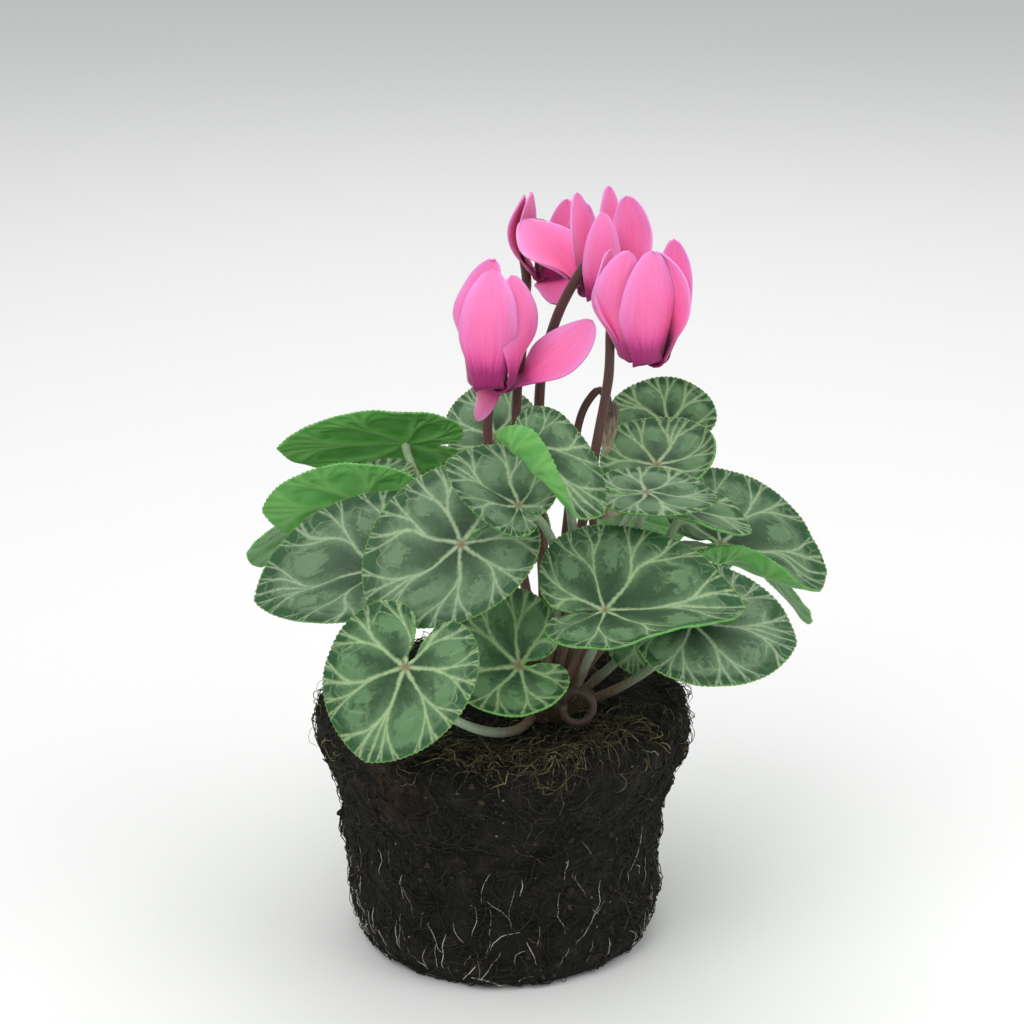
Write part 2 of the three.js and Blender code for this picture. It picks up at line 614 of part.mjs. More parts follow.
/**
 * Place on a petal's midline, by its distance from the root: radius from the flower's axis, height over the
 * mouth, and heading, the way it runs on, from level outwards. It leaves the cup downwards, turns over the
 * mouth's edge and runs back up.
 */
function petalMidline(petal, travel) {
  const turn = radians(90 + petal.lift);
  const turned = Math.min(travel / PETAL.fold, turn);
  const radius = PETAL.foldAt + PETAL.fold * (1 - Math.cos(turned));
  const height = PETAL.rootAt - PETAL.fold * Math.sin(turned);
  const start = turned - Math.PI / 2;
  if (turned < turn) return { radius, height, heading: start };
  const bend = radians(petal.arch || ALMOST) / petal.length;
  const heading = start + bend * (travel - PETAL.fold * turn);
  return {
    radius: radius + (Math.sin(heading) - Math.sin(start)) / bend,
    height: height - (Math.cos(heading) - Math.cos(start)) / bend,
    heading,
  };
}

/** Point of a petal's middle surface: share along it, and -1 to 1 across it. */
function petalPoint(bloom, petal, share, across) {
  const axes = bloomAxes(bloom);
  const out = outward(axes, petal.side);
  const { radius, height, heading } = petalMidline(petal, share * petal.length);
  const inner = out.clone().multiplyScalar(-Math.sin(heading)).addScaledVector(axes.axis, Math.cos(heading));
  const ahead = out.clone().multiplyScalar(Math.cos(heading)).addScaledVector(axes.axis, Math.sin(heading));
  const side = new THREE.Vector3().crossVectors(inner, ahead);
  const free = THREE.MathUtils.smoothstep(share, PETAL.freeFrom, PETAL.freeBy);
  const twist = radians(THREE.MathUtils.lerp(PETAL.layer, petal.twist, free));
  const turnedSide = side.clone().multiplyScalar(Math.cos(twist)).addScaledVector(inner, Math.sin(twist));
  const turnedInner = inner.clone().multiplyScalar(Math.cos(twist)).addScaledVector(side, -Math.sin(twist));
  const ringCurl = (Math.sin(heading) / Math.max(radius, 1)) * (1 - free);
  const curl = ringCurl + (radians(petal.cup) / (petal.width / 2)) * free || ALMOST;
  const angle = across * petalHalfWidth(petal, share) * curl;
  return point(bloom.mouth)
    .addScaledVector(out, radius)
    .addScaledVector(axes.axis, height)
    .addScaledVector(turnedSide, Math.sin(angle) / curl)
    .addScaledVector(turnedInner, (1 - Math.cos(angle)) / curl);
}

function petalGeometry(bloom, petal) {
  const step = 0.01;
  const vertices = [];
  const last = PETAL.rows.length - 1;
  for (const share of PETAL.rows) {
    for (let j = 0; j <= PETAL.across; j += 1) {
      const across = (2 * j) / PETAL.across - 1;
      const at = petalPoint(bloom, petal, share, across);
      const lengthwise = petalPoint(bloom, petal, Math.min(1, share + step), across);
      lengthwise.sub(petalPoint(bloom, petal, Math.max(0, share - step), across));
      const widthwise = petalPoint(bloom, petal, share, across + step);
      widthwise.sub(petalPoint(bloom, petal, share, across - step));
      const half = lengthwise.cross(widthwise).normalize().multiplyScalar(PETAL.thickness / 2);
      vertices.push(at.clone().add(half), at.clone().sub(half));
    }
  }
  const row = PETAL.across + 1;
  const index = (i, j) => 2 * (i * row + j);
  const triangles = [];
  const addQuad = (a, b, c, d) => {
    triangles.push(a, b, c, a, c, d, a + 1, c + 1, b + 1, a + 1, d + 1, c + 1);
  };
  const addWall = (a, b) => {
    triangles.push(a, a + 1, b + 1, a, b + 1, b);
  };
  for (let i = 0; i < last; i += 1) {
    for (let j = 0; j < PETAL.across; j += 1) {
      addQuad(index(i, j), index(i + 1, j), index(i + 1, j + 1), index(i, j + 1));
    }
    addWall(index(i, 0), index(i + 1, 0));
    addWall(index(i + 1, PETAL.across), index(i, PETAL.across));
  }
  for (let j = 0; j < PETAL.across; j += 1) {
    addWall(index(0, j + 1), index(0, j));
    addWall(index(last, j), index(last, j + 1));
  }
  const geometry = new THREE.BufferGeometry();
  const positions = vertices.flatMap((vertex) => vertex.toArray());
  geometry.setAttribute("position", new THREE.Float32BufferAttribute(positions, 3));
  geometry.setIndex(triangles);
  return geometry;
}

/** Turns a shape made along +Z so that +Z lies along the flower's axis, and moves it to the mouth. */
function placeOnAxis(geometry, bloom) {
  const turn = new THREE.Quaternion().setFromUnitVectors(UP, bloomAxes(bloom).axis);
  return geometry.applyQuaternion(turn).translate(...bloom.mouth);
}

function cupGeometry(bloom) {
  return placeOnAxis(latheOf(CUP.profile, CUP.sides), bloom);
}

function calyxGeometry(bloom) {
  const lathe = latheOf(CALYX.profile, CALYX.sides).translate(0, 0, CUP.length + CLEARANCE);
  return placeOnAxis(lathe, bloom);
}

/** The bloom's cup and petals as one body, with room for the stalks that pass between the petals. */
function corollaSolid(bloom, room) {
  const petals = bloom.petals.map((petal) => toSolid(petalGeometry(bloom, petal)));
  const whole = petals.reduce((solid, petal) => solid.add(petal), toSolid(cupGeometry(bloom))).subtract(room);
  return whole.decompose().reduce((largest, piece) => (piece.volume() > largest.volume() ? piece : largest));
}

/** The flower stalk's curve: out of the crown, along its route, over the calyx and down onto it. */
function flowerStalkCurve(bloom) {
  const out = crownDirection(...bloom.foot);
  const crown = crownPoint(...bloom.foot);
  const { axis } = bloomAxes(bloom);
  const from = outward(bloomAxes(bloom), bloom.hook);
  const top = point(bloom.mouth).addScaledVector(axis, CUP.length + CALYX.height);
  return new THREE.CatmullRomCurve3([
    crown.clone().addScaledVector(out, -FLOWER_STALK.sunk),
    crown.clone().addScaledVector(out, FLOWER_STALK.sunk),
    ...bloom.route.map(point),
    ...HOOK.map((bend) => top.clone().addScaledVector(from, bend.out).addScaledVector(axis, bend.up)),
    top,
  ], false, "centripetal");
}

function budGeometry(from, to, radius) {
  const axis = to.clone().sub(from);
  const length = axis.length();
  const lathe = latheOf(BUD_PROFILE.map(([r, z]) => [r * radius, z * length]), BUD_SIDES);
  const turn = new THREE.Quaternion().setFromUnitVectors(UP, axis.normalize());
  return lathe.applyQuaternion(turn).translate(...from.toArray());
}

// ---------------------------------------------------------------- assembly

const plant = new THREE.Group();
const stalks = [];

/** Adds a stalk, with what it carries as one body with it, and keeps its curve for the hole it stands in. */
function addStalk(name, curve, { radius, sides, steps }, finish, carried) {
  stalks.push({ curve, radius, sides, steps });
  const stalk = bar(curve, radius, sides, steps);
  const geometry = carried ? toGeometry(toSolid(stalk).add(toSolid(carried))) : stalk;
  plant.add(namedMesh(name, geometry, finish));
}

LEAVES.forEach((leaf, i) => {
  const number = String(i + 1).padStart(2, "0");
  plant.add(namedMesh(`leaf_${number}`, bladeGeometry(leaf), FINISH.leaf));
  addStalk(`leaf_stalk_${number}`, leafStalkCurve(leaf), LEAF_STALK, FINISH.leafStalk);
});

BLOOMS.forEach((bloom, i) => {
  const { radius, sides, steps } = FLOWER_STALK;
  const curve = flowerStalkCurve(bloom);
  addStalk(`flower_stalk_${i + 1}`, curve, FLOWER_STALK, FINISH.flowerStalk, calyxGeometry(bloom));
  const room = toSolid(bar(curve, radius + CLEARANCE, sides, steps));
  plant.add(namedMesh(`corolla_${i + 1}`, toGeometry(corollaSolid(bloom, room)), FINISH.petal));
});

for (const { name, foot, stalk, bud, route, tip } of BUDS) {
  const crown = crownPoint(...foot);
  const out = crownDirection(...foot);
  const curve = new THREE.CatmullRomCurve3([
    crown.clone().addScaledVector(out, -FLOWER_STALK.sunk),
    crown.clone().addScaledVector(out, FLOWER_STALK.sunk),
    ...route.map(point),
  ], false, "centripetal");
  const body = budGeometry(point(route[route.length - 1]), point(tip), bud);
  addStalk(name, curve, { ...FLOWER_STALK, radius: stalk }, FINISH.bud, body);
}

const curlFoot = crownPoint(...CURL.foot);
const curlOut = crownDirection(...CURL.foot);
const curlPoints = [
  curlFoot.clone().addScaledVector(curlOut, -FLOWER_STALK.sunk),
  curlFoot.clone().addScaledVector(curlOut, CURL.rise),
];
for (let i = 0; i <= CURL.points; i += 1) {
  const share = i / CURL.points;
  const angle = radians(CURL.start + share * CURL.turn);
  const round = new THREE.Vector3(Math.cos(angle), 0, Math.sin(angle)).multiplyScalar(CURL.ringRadius);
  curlPoints.push(point(CURL.centre).add(round).add(new THREE.Vector3(0, -CURL.drift * share, 0)));
}
const curlCurve = new THREE.CatmullRomCurve3(curlPoints, false, "centripetal");
const curlBar = { ...FLOWER_STALK, radius: CURL.radius, steps: CURL.steps };
addStalk(CURL.name, curlCurve, curlBar, FINISH.flowerStalk);

const holes = stalks.map(({ curve, radius, sides, steps }) =>
  toSolid(bar(new LongerCurve(curve, CLEARANCE), radius + CLEARANCE, sides, steps)));
const tuber = holes.reduce((solid, hole) => solid.subtract(hole), toSolid(tuberGeometry(0)));
plant.add(namedMesh("tuber", toGeometry(tuber), FINISH.tuber));
const socket = toSolid(tuberGeometry(CLEARANCE));
const plug = holes.reduce((solid, hole) => solid.subtract(hole), toSolid(plugGeometry()).subtract(socket));
plant.add(namedMesh("root_ball", toGeometry(plug), FINISH.peat));

export default plant;
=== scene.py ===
"""A florist's cyclamen lifted out of its pot, dressed for looks.

Marbled heart-shaped leaves, swept-back pink flowers and buds stand on stalks of their own over a tuber that is
half sunk in a pot-shaped ball of rooted peat. Shapes are worked out in millimetres and set down in metres, in
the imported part's frame: +Z up, -Y the front, the origin in the middle of the root ball's flat underside.
"""

import itertools
import logging
import math
from dataclasses import dataclass, field
from enum import Enum
from typing import Callable, Mapping, Optional, Sequence, Union

import bpy
import numpy as np
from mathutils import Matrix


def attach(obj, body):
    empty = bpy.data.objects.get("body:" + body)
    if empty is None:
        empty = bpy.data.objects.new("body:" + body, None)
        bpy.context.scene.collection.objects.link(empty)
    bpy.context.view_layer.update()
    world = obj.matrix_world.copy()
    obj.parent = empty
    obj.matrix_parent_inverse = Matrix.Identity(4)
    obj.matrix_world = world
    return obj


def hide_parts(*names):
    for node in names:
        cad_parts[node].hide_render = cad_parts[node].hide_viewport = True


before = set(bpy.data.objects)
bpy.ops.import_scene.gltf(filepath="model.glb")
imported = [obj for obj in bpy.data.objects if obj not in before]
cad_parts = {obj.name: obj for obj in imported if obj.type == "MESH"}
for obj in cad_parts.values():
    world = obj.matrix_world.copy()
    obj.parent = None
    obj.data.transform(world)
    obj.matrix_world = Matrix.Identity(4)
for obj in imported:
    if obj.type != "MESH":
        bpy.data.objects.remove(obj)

Array = np.ndarray
Piece = bpy.types.Object
Finish = bpy.types.Material
Node = bpy.types.Node
Socket = bpy.types.NodeSocket
Place = tuple[float, float, float]
Pair = tuple[float, float]
Outline = Sequence[Pair]
Ramp = Mapping[float, str]
Facts = dict[str, Array]
Value = Union[float, int, str, Sequence[float], Node, Socket, None]
Formed = tuple[Array, Facts]
Shape = Callable[[Array, Array], Formed]
Radii = Callable[[Array], Array]

MM = 0.001
UP = np.array([0.0, 0.0, 1.0])
ALMOST = 0.01  # a length, an angle or a curl too small to count
WELD = 0.004  # points closer than this are one, in millimetres
OFF_STALK = (0.31, 0.17, 0.93)  # a way in which no stalk sets out
OFF_THREAD = (0.31, 0.52, 0.79)  # a way in which hardly any thread runs
BODY = "root"
log = logging.getLogger("cyclamen")


class Slot(Enum):
    """Material slots by name."""

    LEAF = "leaf"
    LEAF_STALK = "leaf_stalk"
    FLOWER_STALK = "flower_stalk"
    PETAL = "petal"
    BUD = "bud"
    TUBER = "tuber"
    PEAT = "peat"


# ---------------------------------------------------------------- directions, curves and noise


def unit(vectors: Array) -> Array:
    """Vectors at length one."""
    return vectors / np.linalg.norm(vectors, axis=-1, keepdims=True)


def beside(*values: Array) -> Array:
    """Values of points side by side, one row for each point."""
    return np.stack(values, axis=-1)


def level_direction(degrees: float) -> Array:
    """Level direction at an angle round the plant: 0 is the front, 90 the right."""
    angle = math.radians(degrees)
    return np.array([math.sin(angle), -math.cos(angle), 0.0])


def smooth(value: Array, start: float, end: float) -> Array:
    """Smooth step from 0 at start to 1 at end."""
    t = np.clip((value - start) / (end - start), 0.0, 1.0)
    return t * t * (3.0 - 2.0 * t)


def even_points(points: Array, shares: Array) -> Array:
    """Points along a polyline at shares of its length.

    Args:
        points: The polyline's corners, one a row.
        shares: Shares of its length, 0 at the first corner.

    Returns:
        One point for each share.
    """
    steps = np.linalg.norm(np.diff(points, axis=0), axis=1)
    travel = np.concatenate([[0.0], np.cumsum(steps)])
    return np.stack([np.interp(shares * travel[-1], travel, column) for column in points.T], axis=-1)


def bezier(foot: Array, low: Array, high: Array, head: Array) -> Array:
    """Dense points of a cubic curve.

    Args:
        foot: Where it starts.
        low: What its start is drawn towards.
        high: What its end is drawn towards.
        head: Where it ends.

    Returns:
        The curve's 161 points.
    """
    t = np.linspace(0.0, 1.0, 161)[:, None]
    s = 1.0 - t
    return s**3 * foot + 3 * s * s * t * low + 3 * s * t * t * high + t**3 * head


def threaded_curve(corners: Sequence[Array]) -> Array:
    """Dense points of a smooth curve through the given points, without overshoot at close ones.

    Args:
        corners: The points that it passes through, in order.

    Returns:
        The curve's points, 32 for each stretch.
    """
    inner = np.array(corners, float)
    whole = np.vstack([2 * inner[0] - inner[1], inner, 2 * inner[-1] - inner[-2]])
    t = np.linspace(0.0, 1.0, 33)[:-1, None]
    pieces = []
    for before, start, end, after in zip(whole, whole[1:], whole[2:], whole[3:]):
        stretches = ((before, start), (start, end), (end, after))
        gaps = [math.sqrt(np.linalg.norm(b - a)) for a, b in stretches]
        leave = (start - before) / gaps[0] - (end - before) / (gaps[0] + gaps[1]) + (end - start) / gaps[1]
        arrive = (end - start) / gaps[1] - (after - start) / (gaps[1] + gaps[2]) + (after - end) / gaps[2]
        leave, arrive = leave * gaps[1], arrive * gaps[1]
        square = -3 * start + 3 * end - 2 * leave - arrive
        cube = 2 * start - 2 * end + leave + arrive
        pieces.append(start + leave * t + square * t**2 + cube * t**3)
    return np.vstack([*pieces, inner[-1:]])


class Noise:
    """Smooth, seeded unevenness from -1 to 1, which repeats after 24 lumps."""

    repeat = 24

    def __init__(self, seed: int) -> None:
        """Draws the lattice that the values run between."""
        self.lattice = np.random.default_rng(seed).uniform(-1.0, 1.0, (self.repeat,) * 3)

    def at(self, points: Array, pitch: float) -> Array:
        """Values at points.

        Args:
            points: Places in millimetres, one a row.
            pitch: Size of one lump in millimetres.

        Returns:
            One value for each point.
        """
        cell = points / pitch
        base = np.floor(cell).astype(int)
        t = smooth(cell - base, 0.0, 1.0)
        total = np.zeros(points.shape[:-1])
        for corner in itertools.product((0, 1), repeat=3):
            index = (base + corner) % self.repeat
            weight = np.prod(np.where(corner, t, 1.0 - t), axis=-1)
            total += weight * self.lattice[index[..., 0], index[..., 1], index[..., 2]]
        return total

    def along(self, travel: Array, pitch: float) -> Array:
        """Values along a line, for distances on it in millimetres."""
        return self.at(beside(travel, travel * 0, travel * 0), pitch)


# ---------------------------------------------------------------- pieces


def add_facts(piece: Piece, facts: Facts) -> None:
    """Stores values on a mesh's points, which materials read.

    Args:
        piece: The mesh object.
        facts: By name, three values for each point.
    """
    for name, values in facts.items():
        layer = piece.data.attributes.new(name, "FLOAT_VECTOR", "POINT")
        layer.data.foreach_set("vector", values.astype(np.float32).ravel())


def reshade(piece: Piece, change: Radii) -> None:
    """Changes where on its material's ramp each point of a piece takes its colour.

    Args:
        piece: A piece with the fact `stalk`.
        change: Gives the new shares for the old ones.
    """
    layer = piece.data.attributes["stalk"].data
    values = np.empty(len(piece.data.vertices) * 3, np.float32)
    layer.foreach_get("vector", values)
    values[0::3] = change(values[0::3])
    layer.foreach_set("vector", values)


def shaped_grid(name: str, columns: int, rows: int, shape: Shape) -> Piece:
    """Adds a flat grid and gives it a form.

    Args:
        name: The piece's name.
        columns: Faces across, along which the form's first value runs from 0 to 1.
        rows: Faces along, for the second value.
        shape: Gives a place in millimetres, and facts, for each pair of values.

    Returns:
        The formed piece.
    """
    bpy.ops.object.select_all(action="DESELECT")
    bpy.ops.mesh.primitive_grid_add(x_subdivisions=columns, y_subdivisions=rows, size=2)
    piece = bpy.context.object
    piece.name = piece.data.name = name
    flat = np.empty(len(piece.data.vertices) * 3, np.float32)
    piece.data.vertices.foreach_get("co", flat)
    flat = flat.reshape(-1, 3).astype(float)
    across = np.round((flat[:, 0] + 1) / 2 * columns) / columns
    along = np.round((flat[:, 1] + 1) / 2 * rows) / rows
    places, facts = shape(across, along)
    piece.data.vertices.foreach_set("co", (places * MM).astype(np.float32).ravel())
    add_facts(piece, facts)
    piece.data.update()
    return piece


def close_seams(piece: Piece) -> None:
    """Joins a piece's edges that meet, and its poles.

    Args:
        piece: The formed grid.
    """
    bpy.ops.object.select_all(action="DESELECT")
    piece.select_set(True)
    bpy.context.view_layer.objects.active = piece
    bpy.ops.object.mode_set(mode="EDIT")
    bpy.ops.mesh.select_all(action="SELECT")
    bpy.ops.mesh.remove_doubles(threshold=WELD * MM)
    bpy.ops.object.mode_set(mode="OBJECT")


def give_thickness(piece: Piece, thickness: float, slots: int = 0) -> None:
    """Makes a closed sheet of an open surface, which stays in the sheet's middle.

    Args:
        piece: The surface.
        thickness: In millimetres.
        slots: How many material slots further the back and the rim take theirs from.
    """
    bpy.context.view_layer.objects.active = piece
    bpy.ops.object.modifier_add(type="SOLIDIFY")
    sheet = piece.modifiers[-1]
    sheet.thickness = thickness * MM
    sheet.offset = 0.0
    sheet.use_quality_normals = True
    sheet.material_offset = slots
    sheet.material_offset_rim = slots
    bpy.ops.object.modifier_apply(modifier=sheet.name)


def join_pieces(name: str, parts: Sequence[Piece]) -> Piece:
    """Joins several meshes into one.

    Args:
        name: The whole piece's name.
        parts: The meshes.

    Returns:
        The whole piece.
    """
    bpy.ops.object.select_all(action="DESELECT")
    for part in parts:
        part.select_set(True)
    bpy.context.view_layer.objects.active = parts[0]
    bpy.ops.object.join()
    piece = bpy.context.object
    piece.name = piece.data.name = name
    return piece


def hand_over(piece: Piece, nodes: Sequence[str], finishes: Sequence[Finish] = ()) -> None:
    """Smooths a piece, dresses it and sets it in the frame.

    Args:
        piece: The finished mesh.
        nodes: The solids that it stands for.
        finishes: Its materials, if it has none yet.
    """
    for finish in finishes:
        piece.data.materials.append(finish)
    piece.data.polygons.foreach_set("use_smooth", np.ones(len(piece.data.polygons), bool))
    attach(piece, BODY)
    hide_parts(*nodes)
    log.info("%s: %d faces", piece.name, len(piece.data.polygons))


def rings(
    name: str, sides: int, middles: Array, rights: Array, fronts: Array, radii: Array, shares: Array
) -> Piece:
    """A closed body of round rows.

    Args:
        name: The piece's name.
        sides: Faces round it.
        middles: Each row's middle.
        rights: Each row's way from its middle to its first point.
        fronts: The same a quarter turn on.
        radii: Each row's radius, 0 at the poles.
        shares: Each row's share of the whole length.

    Returns:
        The body. Its fact `stalk` holds the share of its length, the height and the radius.
    """
    rows = len(radii) - 1

    def place(across: Array, along: Array) -> Formed:
        """Points for shares round the body and of its rows."""
        row = np.round(along * rows).astype(int)
        angle = 2 * math.pi * across
        out = np.cos(angle)[:, None] * rights[row] + np.sin(angle)[:, None] * fronts[row]
        spots = middles[row] + out * radii[row][:, None]
        return spots, {"stalk": beside(shares[row], spots[:, 2], radii[row])}

    piece = shaped_grid(name, sides, rows, place)
    close_seams(piece)
    return piece


def tube(name: str, points: Array, radii: Radii, sides: int, rows: int) -> Piece:
    """A round bar with closed, rounded ends along a curve.

    Args:
        name: The piece's name.
        points: Dense points of its middle line in millimetres.
        radii: Its radius in millimetres by the share of its length.
        sides: Faces round it.
        rows: Faces along it.

    Returns:
        The bar.
    """
    length = np.linalg.norm(np.diff(points, axis=0), axis=1).sum()
    end_share = radii(np.array([0.5]))[0] / length
    ends = np.array([0.0, 0.25, 0.75]) * end_share
    stations = np.concatenate([ends, np.linspace(end_share, 1 - end_share, rows - 5), 1 - ends[::-1]])
    middle = even_points(points, stations)
    samples = np.linspace(0, 1, 200)
    ahead = unit(np.gradient(even_points(points, samples), axis=0))
    ahead = unit(np.stack([np.interp(stations, samples, c) for c in ahead.T], axis=-1))
    side = np.zeros_like(middle)
    start = np.cross(ahead[0], OFF_STALK)
    for i, direction in enumerate(ahead):
        start = start - direction * np.dot(start, direction)
        side[i] = start = unit(start)
    other = np.cross(ahead, side)
    near_end = np.clip(np.minimum(stations, 1 - stations) / end_share, 0, 1)
    radius = radii(stations) * np.sqrt(1 - (1 - near_end) ** 2)
    return rings(name, sides, middle, side, other, radius, stations)


def turned(name: str, outline: Outline, sides: int, rows: int, base: Array, axis: Array) -> Piece:
    """A turned body.

    Args:
        name: The piece's name.
        outline: Radius and height in millimetres, from pole to pole, running upwards on the outside.
        sides: Faces round it.
        rows: Faces along the outline.
        base: Where height 0 is.
        axis: The way up.

    Returns:
        The body.
    """
    shares = np.linspace(0, 1, rows + 1)
    ring = even_points(np.array(outline, float), shares)
    right = unit(np.cross([0.0, 1.0, 0.0], axis))
    rights, fronts = (np.tile(way, (rows + 1, 1)) for way in (right, np.cross(axis, right)))
    return rings(name, sides, base + axis * ring[:, 1:], rights, fronts, ring[:, 0], shares)


# ---------------------------------------------------------------- finishes


def linear(colour: str) -> tuple[float, float, float, float]:
    """An sRGB hex colour as linear values with full cover."""
    shares = [int(colour[i : i + 2], 16) / 255 for i in (1, 3, 5)]
    return (*(c / 12.92 if c <= 0.04045 else ((c + 0.055) / 1.055) ** 2.4 for c in shares), 1.0)


class Graph:
    """The nodes of one material."""

    def __init__(self, name: str) -> None:
        """Makes an empty material of that name."""
        self.material = bpy.data.materials.new(name)
        self.material.use_nodes = True
        self.tree = self.material.node_tree
        self.tree.nodes.clear()

    def add(
        self,
        kind: str,
        *values: Union[Value, Mapping[str, Value]],
        stops: Optional[Ramp] = None,
        **settings: object,
    ) -> Node:
        """Adds a node with its settings and links.

        Args:
            kind: The node's type, without its common beginning, and after a colon its operation, if any.
            values: For its inputs in order, or one mapping by name: a number, a hex colour or a link.
            stops: A colour ramp's colours by place.
            settings: The node's own properties.

        Returns:
            The node.
        """
        kind, _, operation = kind.partition(":")
        node = self.tree.nodes.new("ShaderNode" + kind)
        if operation:
            node.operation = operation
        for key, setting in settings.items():
            setattr(node, key, setting)
        if stops:
            marks = node.color_ramp.elements
            marks.remove(marks[-1])
            for i, (place, colour) in enumerate(stops.items()):
                mark = marks.new(place) if i else marks[0]
                mark.position, mark.color = place, linear(colour)
        named = values[0].items() if values and isinstance(values[0], Mapping) else enumerate(values)
        for key, value in named:
            if isinstance(value, Node):
                self.tree.links.new(value.outputs[0], node.inputs[key])
            elif isinstance(value, Socket):
                self.tree.links.new(value, node.inputs[key])
            elif value is not None:
                node.inputs[key].default_value = linear(value) if isinstance(value, str) else value
        return node

    def fact(self, name: str) -> Sequence[Socket]:
        """The three values that a piece holds under a name."""
        return self.add("SeparateXYZ", self.vector(name)).outputs

    def vector(self, name: str) -> Socket:
        """The same three values as one vector."""
        return self.add("Attribute", attribute_name=name).outputs["Vector"]

    def finish(self, shader: Mapping[str, Value], height: Value = None, depth: float = 0.0) -> Finish:
        """Ends the material.

        Args:
            shader: Inputs of its one shader.
            height: Relief from 0 to 1, if any.
            depth: How high 1 stands, in millimetres.

        Returns:
            The finished material.
        """
        inputs = dict(shader)
        if height is not None:
            inputs["Normal"] = self.add("Bump", {"Strength": 1.0, "Distance": depth * MM, "Height": height})
        self.add("OutputMaterial", self.add("BsdfPrincipled", inputs))
        return self.material


@dataclass(frozen=True)
class Veins:
    """Lay of the main veins, which the blade's relief and its marbling share. Shares are of the way out.

    A fork is the share where it starts, the share where it has spread, and how far, as a part of the angle
    between two main veins.
    """

    main: int = 7  # that leave the stalk's head
    forks: Sequence[Place] = ((0.32, 1.02, 0.25), (0.56, 1.08, 0.125), (0.78, 1.2, 0.0625))
    arch_at: float = 0.80  # where arches join them near the margin
    arch_sway: float = 0.055
    arch_waves: float = 4 * math.pi  # phase of an arch's sway over the angle between two veins

    @property
    def cell(self) -> float:
        """Angle between two main veins."""
        return 2 * math.pi / self.main

    def distance(self, x: Array, y: Array, share: Array) -> Array:
        """Distance to the nearest vein.

        Args:
            x: Places along the midrib in millimetres.
            y: Places across it.
            share: Share of the way out to the margin.

        Returns:
            Millimetres.
        """
        reach = np.hypot(x, y)
        turn = np.arctan2(y, x)
        angle = np.abs((turn + self.cell / 2) % self.cell - self.cell / 2)
        away = angle
        for start, end, part in self.forks:
            away = np.abs(away - smooth(share, start, end) * self.cell * part)
        away = np.minimum(away, np.abs(turn))
        arch = self.arch_at + self.arch_sway * np.cos(self.arch_waves * angle / self.cell)
        return np.minimum(away * reach, np.abs(share - arch) * reach / np.maximum(share, 0.05))

    def tree(self, g: Graph, theta: Node, share: Socket, reach: Socket) -> tuple[Node, Node]:
        """The same distance in a material, without the arches.

        Args:
            g: The material.
            theta: Angle round the stalk from the tip.
            share: Share of the way out to the margin.
            reach: Distance from the stalk in millimetres.

        Returns:
            The distance in millimetres, and the angle from the nearest main vein.
        """
        angle = g.add("Math:PINGPONG", theta, self.cell / 2)
        away = angle
        for start, end, part in self.forks:
            spread = g.add(
                "MapRange", share, start, end, 0.0, self.cell * part, interpolation_type="SMOOTHSTEP"
            )
            away = g.add("Math:ABSOLUTE", g.add("Math:SUBTRACT", away, spread))
        away = g.add("Math:MINIMUM", away, g.add("Math:ABSOLUTE", theta))
        return g.add("Math:MULTIPLY", away, reach), angle

    def arches(self, g: Graph, angle: Node, share: Socket, radius: Node, lost: Node) -> Node:
        """Distance to the arches in a material.

        Args:
            g: The material.
            angle: Angle from the nearest main vein.
            share: Share of the way out to the margin.
            radius: Millimetres from the stalk to the margin.
            lost: Millimetres added to the distance, which thins an arch or breaks it off.

        Returns:
            The distance in millimetres.
        """
        phase = g.add("Math:MULTIPLY", angle, self.arch_waves / self.cell)
        sway = g.add("Math:COSINE", phase)
        arch = g.add("Math:MULTIPLY_ADD", sway, self.arch_sway, self.arch_at)
        off = g.add("Math:ABSOLUTE", g.add("Math:SUBTRACT", share, arch))
        return g.add("Math:ADD", g.add("Math:MULTIPLY", off, radius), lost)


